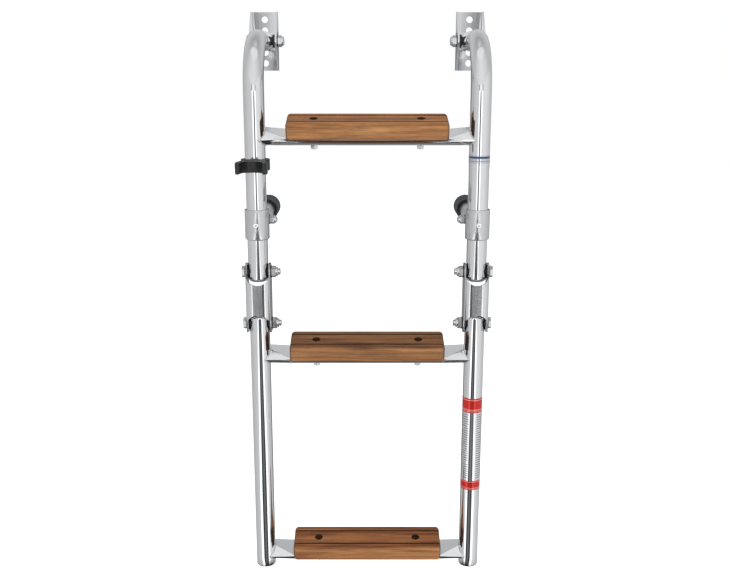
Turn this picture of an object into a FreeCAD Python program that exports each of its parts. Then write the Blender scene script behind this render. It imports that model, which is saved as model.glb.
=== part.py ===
import FreeCAD, Part
import math
import os
import Sketcher
from FreeCAD import Vector, Placement, Rotation

# Folding boat boarding ladder, three wooden treads on polished stainless tube.
#
# Frame: +Z up, +Y towards the hull, +X to the right seen from the water.
# The origin lies on the hull plane (back faces of the two brackets), midway
# between the brackets, at the height of the bracket pivots.
# Millimetres. The ladder hangs below the brackets, in front of the hull.

doc = FreeCAD.newDocument("boarding_ladder")
sheet = doc.addObject("Spreadsheet::Sheet", "Sizes")

SIZES = [
    # rails
    ("tube_dia", 25.0, "outside diameter of the rail and cross tubes"),
    ("tube_wall", 1.5, "wall of the tubes"),
    ("rail_half", 135.0, "rail axis to the centre plane"),
    ("rail_depth", 150.0, "rail axis in front of the hull plane"),
    ("bend_radius", 60.0, "centreline radius of the top bend"),
    ("pivot_depth", 25.0, "bracket pivot in front of the hull plane"),
    ("tube_overrun", 12.0, "closed tube end past its pivot"),
    ("tube_end_round", 5.0, "rounding of a closed tube end"),
    ("end_wall", 2.5, "thickness of a closed tube end"),
    ("upper_hinge_drop", 279.0, "upper link pivot below the bracket pivot"),
    ("lower_hinge_drop", 345.0, "lower link pivot below the bracket pivot"),
    ("foot_drop", 677.5, "lower end of the lower tubes"),
    # hull brackets
    ("bracket_tall", 75.0, "height of the bracket"),
    ("bracket_wide", 36.0, "outside width of the bracket"),
    ("bracket_wall", 2.5, "sheet thickness of the bracket"),
    ("bracket_nose", 34.0, "depth of the ears at the pivot"),
    ("bracket_lip", 8.0, "depth of the ears at their ends"),
    ("bracket_nose_half", 5.0, "half height of the straight nose"),
    ("bracket_nose_round", 11.0, "rounding of the nose"),
    ("bracket_corner", 3.5, "outside bend radius of the sheet"),
    ("mount_hole_dia", 8.5, "hull bolt hole"),
    ("mount_hole_outer", 28.0, "outer holes above and below the pivot"),
    ("mount_hole_inner", 14.0, "inner holes above and below the pivot"),
    # pivot hardware
    ("bolt_dia", 8.0, "pivot bolt shank"),
    ("bolt_hole_dia", 8.4, "bolt hole in an ear"),
    ("head_flats", 13.0, "bolt head and nut across flats"),
    ("head_tall", 3.6, "bolt head height"),
    ("nut_tall", 5.0, "hexagon part of the lock nut"),
    ("nut_collar_tall", 2.6, "collar of the lock nut"),
    ("nut_collar_dia", 11.8, "diameter of the lock nut collar"),
    ("washer_dia", 15.0, "washer outside diameter"),
    ("washer_thick", 1.2, "washer thickness"),
    ("bush_stem_dia", 12.0, "stem of the nylon bush"),
    ("bush_seat_dia", 12.1, "hole in the tube for the bush"),
    ("bush_bore_dia", 8.1, "running bore of the bush"),
    ("bush_flange_dia", 17.0, "flange of the nylon bush"),
    ("bush_stem_long", 9.0, "stem of the bush inside the tube"),
    ("face_gap", 0.1, "gap between a bush flange and the ear"),
    ("seat_gap", 0.05, "gap between a bush flange and the tube"),
    ("bracket_bolt_end", 0.3, "bracket bolt past its nut"),
    ("hinge_bolt_end", 3.0, "hinge bolt past its nut"),
    # links
    ("link_wide", 31.0, "outside width of the link"),
    ("link_wall", 2.2, "sheet thickness of the link"),
    ("link_front", 18.5, "front face of the web in front of the rail axis"),
    ("link_back", 11.0, "back edge of the ears behind the rail axis"),
    ("link_over", 11.0, "ears past the pivots"),
    ("link_notch_radius", 14.6, "notch in the web round each pivot"),
    ("link_front_round", 13.0, "front corners of the ears"),
    ("link_back_round", 10.0, "back corners of the ears"),
    ("link_corner", 9.5, "outside bend radius of the sheet"),
    # cross tubes and treads
    ("top_cross_drop", 111.0, "axis of the top cross tube"),
    ("middle_cross_drop", 384.5, "axis of the middle cross tube"),
    ("bottom_cross_drop", 658.2, "axis of the bottom cross tube"),
    ("tread_tilt", 15.0, "slope of the treads, front edge lower"),
    ("seat_rise", 1.4, "pressed seat above the cross tube axis"),
    ("press_near", 6.2, "pressed face above the axis at the rail"),
    ("seat_lean", 5.0, "slope of the pressed face beyond the tread's, front edge lower"),
    ("press_spread", 1.13, "widening of the tube where it is pressed"),
    ("press_end", 97.0, "full pressing from the centre plane"),
    ("tread_long", 193.0, "length of a tread"),
    ("tread_deep", 43.5, "depth of a tread"),
    ("tread_thick", 20.0, "thickness of a tread, underside on the tube's axis"),
    ("channel_half", 14.8, "half width of the channel under a tread"),
    ("tread_corner", 5.0, "plan corner radius of a tread"),
    ("tread_top_round", 4.0, "rounding of the tread's top edges"),
    ("tread_foot_round", 1.5, "rounding of the tread's lower edges"),
    ("groove_offset", 11.5, "grip groove from the tread's centre line"),
    ("groove_wide", 2.0, "width of a grip groove"),
    ("groove_deep", 2.5, "depth of a grip groove"),
    ("screw_offset", 64.0, "tread screw from the centre plane"),
    ("sink_dia", 10.0, "counterbore for the screw head"),
    ("sink_deep", 6.0, "depth of the counterbore"),
    ("screw_hole_dia", 5.4, "clearance hole for the tread screw"),
    ("screw_dia", 5.0, "tread screw shank"),
    ("screw_head_dia", 8.6, "tread screw head"),
    ("screw_head_tall", 3.2, "tread screw head height"),
    ("screw_socket", 4.0, "hexagon socket across flats"),
    ("small_nut_flats", 8.0, "tread nut across flats"),
    ("small_nut_tall", 4.7, "tread nut height"),
    ("screw_end", 0.6, "tread screw past its nut"),
    # stand-offs
    ("sleeve_dia", 30.0, "outside diameter of the stand-off sleeve"),
    ("sleeve_bore", 25.6, "bore of the stand-off sleeve"),
    ("sleeve_top_drop", 201.0, "upper end of the sleeve"),
    ("sleeve_tall", 37.0, "height of the sleeve"),
    ("sleeve_bevel", 1.4, "bevel on the lower edge of the sleeve"),
    ("arm_drop", 219.0, "axis of the stand-off arm"),
    ("arm_dia", 22.0, "outside diameter of the arm"),
    ("arm_wall", 1.5, "wall of the arm"),
    ("arm_end", 7.0, "arm's end in front of the hull plane"),
    ("spigot_dia", 18.8, "spigot on the sleeve, inside the arm"),
    ("spigot_end", 100.0, "spigot's end in front of the hull plane"),
    ("arm_bolt_depth", 117.0, "cross bolt in front of the hull plane"),
    ("arm_bolt_dia", 6.0, "cross bolt shank"),
    ("arm_bolt_hole", 6.3, "hole for the cross bolt"),
    ("arm_head_flats", 10.0, "cross bolt head and nut across flats"),
    ("arm_head_tall", 4.0, "cross bolt head height"),
    ("arm_washer_dia", 12.0, "cross bolt washer"),
    ("arm_washer_thick", 1.6, "cross bolt washer thickness"),
    ("arm_nut_tall", 5.6, "hexagon part of the cap nut"),
    ("grub_dia", 6.0, "locking screw in the sleeve"),
    ("grub_proud", 1.2, "locking screw proud of the sleeve"),
    ("grub_socket", 3.0, "socket of the locking screw across flats"),
    ("pad_dia", 31.0, "rubber pad diameter"),
    ("pad_long", 34.0, "rubber pad length"),
    ("pad_bore", 22.04, "blind hole of the pad for the arm"),
    ("pad_mouth", 27.0, "wider mouth of the pad's blind hole"),
    ("pad_mouth_deep", 4.0, "depth of the wider mouth"),
    ("pad_round", 1.6, "rounding of the pad's edges"),
    ("rib_groove", 0.55, "depth of the grip flutes on the pad"),
    # clip
    ("clip_top_drop", 140.0, "top of the clip"),
    ("clip_tall", 13.5, "height of the clip"),
    ("clip_jaw_depth", 192.6, "centre of the front jaw in front of the hull"),
    ("clip_jaw_radius", 13.2, "inside radius of the front jaw"),
    ("clip_jaw_half", 18.6, "half width of the front jaw"),
    ("clip_tip_depth", 199.0, "tips of the front jaw"),
    ("clip_ring_radius", 12.55, "inside radius of the rear jaw"),
    ("clip_ring_half", 17.4, "half width of the rear jaw"),
    ("clip_waist_half", 14.0, "half width between the jaws"),
    # plugs and films
    ("plug_rim", 1.2, "rim of the foot plug"),
    ("plug_stem_dia", 21.9, "stem of the foot plug"),
    ("plug_stem_long", 15.0, "length of the stem"),
    ("film_gap", 0.05, "film to tube"),
    ("film_thick", 0.15, "thickness of the films"),
    ("label_top_drop", 442.0, "upper edge of the safety label"),
    ("label_tall", 126.0, "height of the safety label"),
    ("band_top_drop", 135.0, "upper edge of the plain band"),
    ("band_tall", 10.0, "height of the plain band"),
]


class Size:
    """A number together with the sheet expression that gives it."""

    def __init__(self, value, text):
        self.v = float(value)
        self.t = text

    def _join(self, other, sign, value, swap=False):
        a, b = (other, self) if swap else (self, other)
        return Size(value, "(%s %s %s)" % (a.t, sign, b.t))

    def __add__(self, o):
        o = lift(o)
        return self._join(o, "+", self.v + o.v)

    def __radd__(self, o):
        o = lift(o)
        return self._join(o, "+", o.v + self.v, True)

    def __sub__(self, o):
        o = lift(o)
        return self._join(o, "-", self.v - o.v)

    def __rsub__(self, o):
        o = lift(o)
        return self._join(o, "-", o.v - self.v, True)

    def __mul__(self, o):
        o = lift(o)
        return self._join(o, "*", self.v * o.v)

    def __rmul__(self, o):
        o = lift(o)
        return self._join(o, "*", o.v * self.v, True)

    def __truediv__(self, o):
        o = lift(o)
        return self._join(o, "/", self.v / o.v)

    def __neg__(self):
        return Size(-self.v, "(0 - %s)" % self.t)


def lift(x):
    if isinstance(x, Size):
        return x
    return Size(x, "(0 - %r)" % abs(float(x)) if x < 0 else repr(float(x)))


class Sheet:
    pass


d = Sheet()
for row, (alias, value, note) in enumerate(SIZES, start=1):
    sheet.set("A%d" % row, note)
    sheet.set("B%d" % row, repr(value))
    sheet.setAlias("B%d" % row, alias)
    setattr(d, alias, Size(value, "Sizes." + alias))
doc.recompute()

SUBPARTS = []


def keep(obj, label):
    obj.Label = label
    SUBPARTS.append(obj)
    return obj


def bind(obj, prop, size):
    obj.setExpression(prop, lift(size).t)


def place(obj, x=0, y=0, z=0, rotation=None):
    """Put an object at a position given by sheet sizes."""
    x, y, z = lift(x), lift(y), lift(z)
    if rotation is not None:
        obj.Placement = Placement(Vector(x.v, y.v, z.v), rotation)
    for axis, size in (("x", x), ("y", y), ("z", z)):
        bind(obj, "Placement.Base." + axis, size)
    return obj


# ------------------------------------------------------------------ sketches

def origin_part(body, role):
    for item in body.Origin.OriginFeatures:
        if item.Role == role:
            return item
    raise RuntimeError("no " + role)


def new_sketch(body, role, name, lift_by=None):
    """XY_Plane: x, y. XZ_Plane: x, z, normal -Y. YZ_Plane: y, z, normal +X."""
    sk = body.newObject("Sketcher::SketchObject", name)
    sk.AttachmentSupport = [(origin_part(body, role), "")]
    sk.MapMode = "FlatFace"
    if lift_by is not None:
        bind(sk, "AttachmentOffset.Base.z", lift_by)
    return sk


def fix_point(sk, geo, pos, x, y):
    x, y = lift(x), lift(y)
    c = sk.addConstraint(Sketcher.Constraint("DistanceX", -1, 1, geo, pos, x.v))
    bind(sk, "Constraints[%d]" % c, x)
    c = sk.addConstraint(Sketcher.Constraint("DistanceY", -1, 1, geo, pos, y.v))
    bind(sk, "Constraints[%d]" % c, y)


def add_polygon(sk, points):
    points = [(lift(x), lift(y)) for x, y in points]
    n = len(points)
    geos = []
    for i in range(n):
        a, b = points[i], points[(i + 1) % n]
        geos.append(sk.addGeometry(Part.LineSegment(
            Vector(a[0].v, a[1].v, 0), Vector(b[0].v, b[1].v, 0)), False))
    for i in range(n):
        sk.addConstraint(Sketcher.Constraint(
            "Coincident", geos[i], 2, geos[(i + 1) % n], 1))
    for i in range(n):
        fix_point(sk, geos[i], 1, points[i][0], points[i][1])


def add_circle(sk, x, y, radius):
    x, y, radius = lift(x), lift(y), lift(radius)
    g = sk.addGeometry(Part.Circle(
        Vector(x.v, y.v, 0), Vector(0, 0, 1), radius.v), False)
    fix_point(sk, g, 3, x, y)
    c = sk.addConstraint(Sketcher.Constraint("Radius", g, radius.v))
    bind(sk, "Constraints[%d]" % c, radius)


def rectangle(sk, x0, x1, y0, y1):
    add_polygon(sk, [(x0, y0), (x1, y0), (x1, y1), (x0, y1)])


HEX = [(math.cos(math.radians(30 + 60 * k)) / math.cos(math.radians(30)),
        math.sin(math.radians(30 + 60 * k)) / math.cos(math.radians(30)))
       for k in range(6)]


def add_hexagon(sk, x, y, flats):
    add_polygon(sk, [(lift(x) + flats / 2 * round(cx, 9),
                      lift(y) + flats / 2 * round(cy, 9)) for cx, cy in HEX])


# ------------------------------------------------------------------ features

def new_body(name):
    return doc.addObject("PartDesign::Body", name)


def feature(body, kind, name, profile, **links):
    f = body.newObject("PartDesign::" + kind, name)
    f.Profile = profile
    for key, value in links.items():
        setattr(f, key, value)
    return f


def pad(body, name, sk, length, symmetric=False, reverse=False):
    f = feature(body, "Pad", name, sk)
    bind(f, "Length", length)
    f.SideType = "Symmetric" if symmetric else "One side"
    f.Reversed = reverse
    doc.recompute()
    return f


def pocket(body, name, sk, depth=None, reverse=False):
    """Cut to a depth along the sketch's cutting side, or right through."""
    before = body.Shape.Volume
    f = feature(body, "Pocket", name, sk)
    if depth is None:
        f.Type = "ThroughAll"
        f.SideType = "Symmetric"
    else:
        f.Type = "Length"
        bind(f, "Length", depth)
        f.Reversed = reverse
    doc.recompute()
    if not body.Shape.Volume < before - 1e-3:
        raise RuntimeError(name + " removes nothing")
    return f


def edges_where(shape, test):
    return ["Edge%d" % (i + 1) for i, e in enumerate(shape.Edges)
            if test(e.CenterOfMass, e)]


def dress(body, kind, name, size, test, count=None):
    """Fillet or chamfer the body's edges whose centre passes the test."""
    tip = body.Tip
    names = edges_where(tip.Shape, test)
    if not names or (count is not None and len(names) != count):
        raise RuntimeError("%s found %d edges" % (name, len(names)))
    f = body.newObject("PartDesign::" + kind, name)
    f.Base = (tip, names)
    bind(f, "Radius" if kind == "Fillet" else "Size", size)
    doc.recompute()
    return f


def near(a, b, tol=0.02):
    return abs(a - b) < tol


def is_line(e, axis):
    if not isinstance(e.Curve, Part.Line):
        return False
    v = e.Vertexes[-1].Point.sub(e.Vertexes[0].Point)
    v.normalize()
    return abs(abs(getattr(v, axis)) - 1) < 1e-6


def link(target, name, x=0, y=0, z=0, rotation=None):
    item = doc.addObject("App::Link", name)
    item.LinkedObject = target
    return place(item, x, y, z, rotation)


def group(label, items):
    g = doc.addObject("Part::Compound", label)
    g.Links = items
    return keep(g, label)


SIDES = (("left", -1), ("right", 1))
TURN = Rotation(Vector(0, 0, 1), 180)


def facing(sign):
    """Hardware is drawn for the left rail and turned half round for the right."""
    return Rotation() if sign < 0 else TURN


# ------------------------------------------------------------- hull brackets

for side, sign in SIDES:
    b = new_body("bracket_" + side)
    half, wall = d.bracket_wide / 2, d.bracket_wall
    sk = new_sketch(b, "XY_Plane", "bracket_section_" + side)
    add_polygon(sk, [(-half, 0), (half, 0), (half, -d.bracket_nose),
                     (half - wall, -d.bracket_nose), (half - wall, -wall),
                     (wall - half, -wall), (wall - half, -d.bracket_nose),
                     (-half, -d.bracket_nose)])
    pad(b, "bracket_channel_" + side, sk, d.bracket_tall, symmetric=True)
    dress(b, "Fillet", "bracket_bend_" + side, d.bracket_corner,
          lambda c, e: is_line(e, "z") and near(abs(c.x), half.v)
          and near(c.y, 0), 2)
    dress(b, "Fillet", "bracket_root_" + side, d.bracket_corner - wall,
          lambda c, e: is_line(e, "z") and near(abs(c.x), half.v - wall.v)
          and near(c.y, -wall.v), 2)
    # the ears narrow from the nose at the pivot to a lip at each end
    top = d.bracket_tall / 2
    sk = new_sketch(b, "YZ_Plane", "bracket_taper_" + side)
    for s in (1, -1):
        add_polygon(sk, [(-d.bracket_lip, s * top), (-d.bracket_lip, s * (top + 1)),
                         (-d.bracket_nose - 1, s * (top + 1)),
                         (-d.bracket_nose - 1, s * d.bracket_nose_half),
                         (-d.bracket_nose, s * d.bracket_nose_half)])
    pocket(b, "bracket_ears_" + side, sk)
    dress(b, "Fillet", "bracket_nose_" + side, d.bracket_nose_round,
          lambda c, e: is_line(e, "x") and near(c.y, -d.bracket_nose.v)
          and near(abs(c.z), d.bracket_nose_half.v), 4)
    sk = new_sketch(b, "YZ_Plane", "bracket_pivot_sketch_" + side)
    add_circle(sk, -d.pivot_depth, 0, d.bolt_hole_dia / 2)
    pocket(b, "bracket_pivot_hole_" + side, sk)
    sk = new_sketch(b, "XZ_Plane", "bracket_holes_sketch_" + side)
    for drop in (d.mount_hole_outer, d.mount_hole_inner,
                 -d.mount_hole_inner, -d.mount_hole_outer):
        add_circle(sk, 0, drop, d.mount_hole_dia / 2)
    pocket(b, "bracket_holes_" + side, sk)
    keep(place(b, sign * d.rail_half), "bracket_" + side)


# ------------------------------------------------------- bolts, nuts, washers
# Drawn on the X axis for the left rail: head towards -X, nut towards +X,
# x = 0 on the rail axis.

def hex_bolt(name, grip_from, shank_to, shank, flats, head):
    """Hexagon bolt along X: head before grip_from, shank to shank_to."""
    b = new_body(name)
    sk = new_sketch(b, "YZ_Plane", name + "_hexagon", grip_from - head)
    add_hexagon(sk, 0, 0, flats)
    pad(b, name + "_head", sk, head)
    sk = new_sketch(b, "XY_Plane", name + "_bevel_sketch")
    rim = flats / 2
    add_polygon(sk, [(grip_from - head - 0.2, rim - 0.35),
                     (grip_from - head - 0.2, rim * 1.2),
                     (grip_from - head + rim * 0.1155, rim * 1.2)])
    before = b.Shape.Volume
    f = feature(b, "Groove", name + "_bevel", sk,
                ReferenceAxis=(origin_part(b, "X_Axis"), [""]), Angle=360)
    doc.recompute()
    if not b.Shape.Volume < before:
        raise RuntimeError(name + " bevel")
    sk = new_sketch(b, "YZ_Plane", name + "_circle", grip_from)
    add_circle(sk, 0, 0, shank / 2)
    pad(b, name + "_shank", sk, shank_to - grip_from)
    dress(b, "Chamfer", name + "_point", shank * 0.09,
          lambda c, e: near(c.x, shank_to.v) and isinstance(e.Curve, Part.Circle), 1)
    return b


def revolve_x(name, points):
    """Solid of revolution about the X axis from (x, radius) points."""
    b = new_body(name)
    sk = new_sketch(b, "XY_Plane", name + "_profile")
    add_polygon(sk, points)
    feature(b, "Revolution", name + "_turned", sk,
            ReferenceAxis=(origin_part(b, "X_Axis"), [""]), Angle=360)
    doc.recompute()
    return b


def lock_nut(name, start, flats, tall, collar, collar_dia, bore):
    """Hexagon nut with a round collar, seated at x = start."""
    b = new_body(name)
    sk = new_sketch(b, "YZ_Plane", name + "_hexagon", start)
    add_hexagon(sk, 0, 0, flats)
    pad(b, name + "_body", sk, tall)
    rim = flats / 2
    sk = new_sketch(b, "XY_Plane", name + "_bevel_sketch")
    add_polygon(sk, [(start + tall + 0.2, rim - 0.35),
                     (start + tall + 0.2, rim * 1.2),
                     (start + tall - rim * 0.1155, rim * 1.2)])
    feature(b, "Groove", name + "_bevel", sk,
            ReferenceAxis=(origin_part(b, "X_Axis"), [""]), Angle=360)
    doc.recompute()
    sk = new_sketch(b, "YZ_Plane", name + "_collar_circle", start + tall)
    add_circle(sk, 0, 0, collar_dia / 2)
    pad(b, name + "_collar", sk, collar)
    end = (start + tall + collar).v
    dress(b, "Fillet", name + "_crown", collar * 0.6,
          lambda c, e: near(c.x, end) and isinstance(e.Curve, Part.Circle), 1)
    if bore is not None:
        sk = new_sketch(b, "YZ_Plane", name + "_bore_circle")
        add_circle(sk, 0, 0, bore / 2)
        pocket(b, name + "_bore", sk)
    return b


def ring_x(name, start, end, outer, inner):
    """Flat ring about the X axis."""
    return revolve_x(name, [(start, inner / 2), (end, inner / 2),
                            (end, outer / 2), (start, outer / 2)])


def bush_x(name, ear_inner):
    """Top-hat bush on the -X side of the rail: flange by the ear, stem in the tube."""
    flange_out = -(ear_inner - d.face_gap)
    flange_in = -(d.tube_dia / 2 + d.seat_gap)
    stem_in = -(d.tube_dia / 2 - d.bush_stem_long)
    bore, stem, rim = d.bush_bore_dia / 2, d.bush_stem_dia / 2, d.bush_flange_dia / 2
    return revolve_x(name, [(flange_out, bore), (stem_in, bore), (stem_in, stem),
                            (flange_in, stem), (flange_in, rim), (flange_out, rim)])


ear = d.bracket_wide / 2
link_ear = d.link_wide / 2
bracket_bolt = hex_bolt(
    "bracket_bolt_form", -ear,
    ear + d.washer_thick + d.nut_tall + d.nut_collar_tall + d.bracket_bolt_end,
    d.bolt_dia, d.head_flats, d.head_tall)
hinge_bolt = hex_bolt(
    "hinge_bolt_form", -link_ear - d.washer_thick,
    link_ear + d.washer_thick + d.nut_tall + d.nut_collar_tall + d.hinge_bolt_end,
    d.bolt_dia, d.head_flats, d.head_tall)
nut_bore = d.bolt_dia + 0.1
bracket_nut = lock_nut("bracket_nut_form", ear + d.washer_thick, d.head_flats,
                       d.nut_tall, d.nut_collar_tall, d.nut_collar_dia, nut_bore)
hinge_nut = lock_nut("hinge_nut_form", link_ear + d.washer_thick, d.head_flats,
                     d.nut_tall, d.nut_collar_tall, d.nut_collar_dia, nut_bore)
bracket_washer = ring_x("bracket_washer_form", ear, ear + d.washer_thick,
                        d.washer_dia, d.bolt_hole_dia)
hinge_washer = ring_x("hinge_washer_form", link_ear, link_ear + d.washer_thick,
                      d.washer_dia, d.bolt_hole_dia)
bracket_bush = bush_x("bracket_bush_form", ear - d.bracket_wall)
hinge_bush = bush_x("hinge_bush_form", link_ear - d.link_wall)

for side, sign in SIDES:
    group("bracket_bolt_" + side, [
        link(bracket_bolt, "bracket_bolt_at_" + side, sign * d.rail_half,
             -d.pivot_depth, 0, facing(sign))])
group("bracket_nuts", [
    link(bracket_nut, "bracket_nut_at_" + side, sign * d.rail_half,
         -d.pivot_depth, 0, facing(sign)) for side, sign in SIDES])
group("bracket_washers", [
    link(bracket_washer, "bracket_washer_at_" + side, sign * d.rail_half,
         -d.pivot_depth, 0, facing(sign)) for side, sign in SIDES])
group("bracket_bushes", [
    link(bracket_bush, "bracket_bush_%s_%s" % (side, end), sign * d.rail_half,
         -d.pivot_depth, 0, turn)
    for side, sign in SIDES for end, turn in (("out", Rotation()), ("in", TURN))])

for level, drop in (("upper", d.upper_hinge_drop), ("lower", d.lower_hinge_drop)):
    group("hinge_bolts_" + level, [
        link(hinge_bolt, "hinge_bolt_%s_%s" % (level, side), sign * d.rail_half,
             -d.rail_depth, -drop, facing(sign)) for side, sign in SIDES])
    group("hinge_nuts_" + level, [
        link(hinge_nut, "hinge_nut_%s_%s" % (level, side), sign * d.rail_half,
             -d.rail_depth, -drop, facing(sign)) for side, sign in SIDES])
    group("hinge_washers_" + level, [
        link(hinge_washer, "hinge_washer_%s_%s_%s" % (level, side, end),
             sign * d.rail_half, -d.rail_depth, -drop, turn)
        for side, sign in SIDES
        for end, turn in (("in", Rotation()), ("out", TURN))])
    group("hinge_bushes_" + level, [
        link(hinge_bush, "hinge_bush_%s_%s_%s" % (level, side, end),
             sign * d.rail_half, -d.rail_depth, -drop, turn)
        for side, sign in SIDES
        for end, turn in (("out", Rotation()), ("in", TURN))])


# --------------------------------------------------------------- upper tubes

def bent_path(body, name, start_depth, end_drop):
    """Straight run at pivot height, bend, straight run down; sketched in Y, Z."""
    sk = new_sketch(body, "YZ_Plane", name)
    y0, yr = -lift(start_depth), -d.rail_depth
    yb = -(d.rail_depth - d.bend_radius)
    r, z1 = d.bend_radius, -lift(end_drop)
    run = sk.addGeometry(Part.LineSegment(Vector(y0.v, 0, 0), Vector(yb.v, 0, 0)), False)
    arc = sk.addGeometry(Part.ArcOfCircle(
        Part.Circle(Vector(yb.v, -r.v, 0), Vector(0, 0, 1), r.v),
        math.pi / 2, math.pi), False)
    fall = sk.addGeometry(Part.LineSegment(Vector(yr.v, -r.v, 0), Vector(yr.v, z1.v, 0)), False)
    sk.addConstraint(Sketcher.Constraint("Coincident", run, 2, arc, 1))
    sk.addConstraint(Sketcher.Constraint("Coincident", arc, 2, fall, 1))
    fix_point(sk, run, 1, y0, 0)
    fix_point(sk, run, 2, yb, 0)
    fix_point(sk, fall, 1, yr, -r)
    fix_point(sk, fall, 2, yr, z1)
    c = sk.addConstraint(Sketcher.Constraint("DistanceX", -1, 1, arc, 3, yb.v))
    bind(sk, "Constraints[%d]" % c, yb)
    return sk


for side, sign in SIDES:
    b = new_body("upper_tube_" + side)
    start = d.pivot_depth - d.tube_overrun
    stop = d.upper_hinge_drop + d.tube_overrun
    path = bent_path(b, "upper_path_" + side, start, stop)
    sk = new_sketch(b, "XZ_Plane", "upper_section_" + side, start)
    add_circle(sk, 0, 0, d.tube_dia / 2)
    pipe = feature(b, "AdditivePipe", "upper_bar_" + side, sk, Spine=(path, []))
    doc.recompute()
    dress(b, "Fillet", "upper_ends_" + side, d.tube_end_round,
          lambda c, e: len(e.Vertexes) == 1
          and (near(c.y, -start.v) or near(c.z, -stop.v)), 2)
    inner = bent_path(b, "upper_core_path_" + side, start + d.end_wall, stop - d.end_wall)
    sk = new_sketch(b, "XZ_Plane", "upper_core_section_" + side, start + d.end_wall)
    add_circle(sk, 0, 0, d.tube_dia / 2 - d.tube_wall)
    before = b.Shape.Volume
    feature(b, "SubtractivePipe", "upper_core_" + side, sk, Spine=(inner, []))
    doc.recompute()
    if not b.Shape.Volume < before * 0.5:
        raise RuntimeError("upper tube is not hollow")
    sk = new_sketch(b, "YZ_Plane", "upper_bush_sketch_" + side)
    add_circle(sk, -d.pivot_depth, 0, d.bush_seat_dia / 2)
    add_circle(sk, -d.rail_depth, -d.upper_hinge_drop, d.bush_seat_dia / 2)
    pocket(b, "upper_bush_holes_" + side, sk)
    keep(place(b, sign * d.rail_half), "upper_tube_" + side)


# --------------------------------------------------------------- lower tubes

for side, sign in SIDES:
    b = new_body("lower_tube_" + side)
    top = d.lower_hinge_drop - d.tube_overrun
    sk = new_sketch(b, "XY_Plane", "lower_section_" + side, -d.foot_drop)
    add_circle(sk, 0, 0, d.tube_dia / 2)
    pad(b, "lower_bar_" + side, sk, d.foot_drop - top)
    dress(b, "Fillet", "lower_end_" + side, d.tube_end_round,
          lambda c, e: isinstance(e.Curve, Part.Circle) and near(c.z, -top.v), 1)
    sk = new_sketch(b, "XY_Plane", "lower_core_section_" + side, -d.foot_drop)
    add_circle(sk, 0, 0, d.tube_dia / 2 - d.tube_wall)
    pocket(b, "lower_core_" + side, sk, d.foot_drop - top - d.end_wall, reverse=True)
    sk = new_sketch(b, "YZ_Plane", "lower_bush_sketch_" + side)
    add_circle(sk, 0, -d.lower_hinge_drop, d.bush_seat_dia / 2)
    pocket(b, "lower_bush_holes_" + side, sk)
    keep(place(b, sign * d.rail_half, -d.rail_depth), "lower_tube_" + side)

plug = new_body("foot_plug_form")
sk = new_sketch(plug, "XY_Plane", "foot_plug_rim_sketch")
add_circle(sk, 0, 0, d.tube_dia / 2)
pad(plug, "foot_plug_rim", sk, d.plug_rim, reverse=True)
dress(plug, "Chamfer", "foot_plug_edge", d.plug_rim * 0.5,
      lambda c, e: isinstance(e.Curve, Part.Circle) and near(c.z, -d.plug_rim.v), 1)
sk = new_sketch(plug, "XY_Plane", "foot_plug_stem_sketch")
add_circle(sk, 0, 0, d.plug_stem_dia / 2)
add_circle(sk, 0, 0, d.plug_stem_dia / 2 - 2)
pad(plug, "foot_plug_stem", sk, d.plug_stem_long)
group("foot_plugs", [
    link(plug, "foot_plug_" + side, sign * d.rail_half, -d.rail_depth, -d.foot_drop)
    for side, sign in SIDES])


# --------------------------------------------------------------------- links

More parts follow.
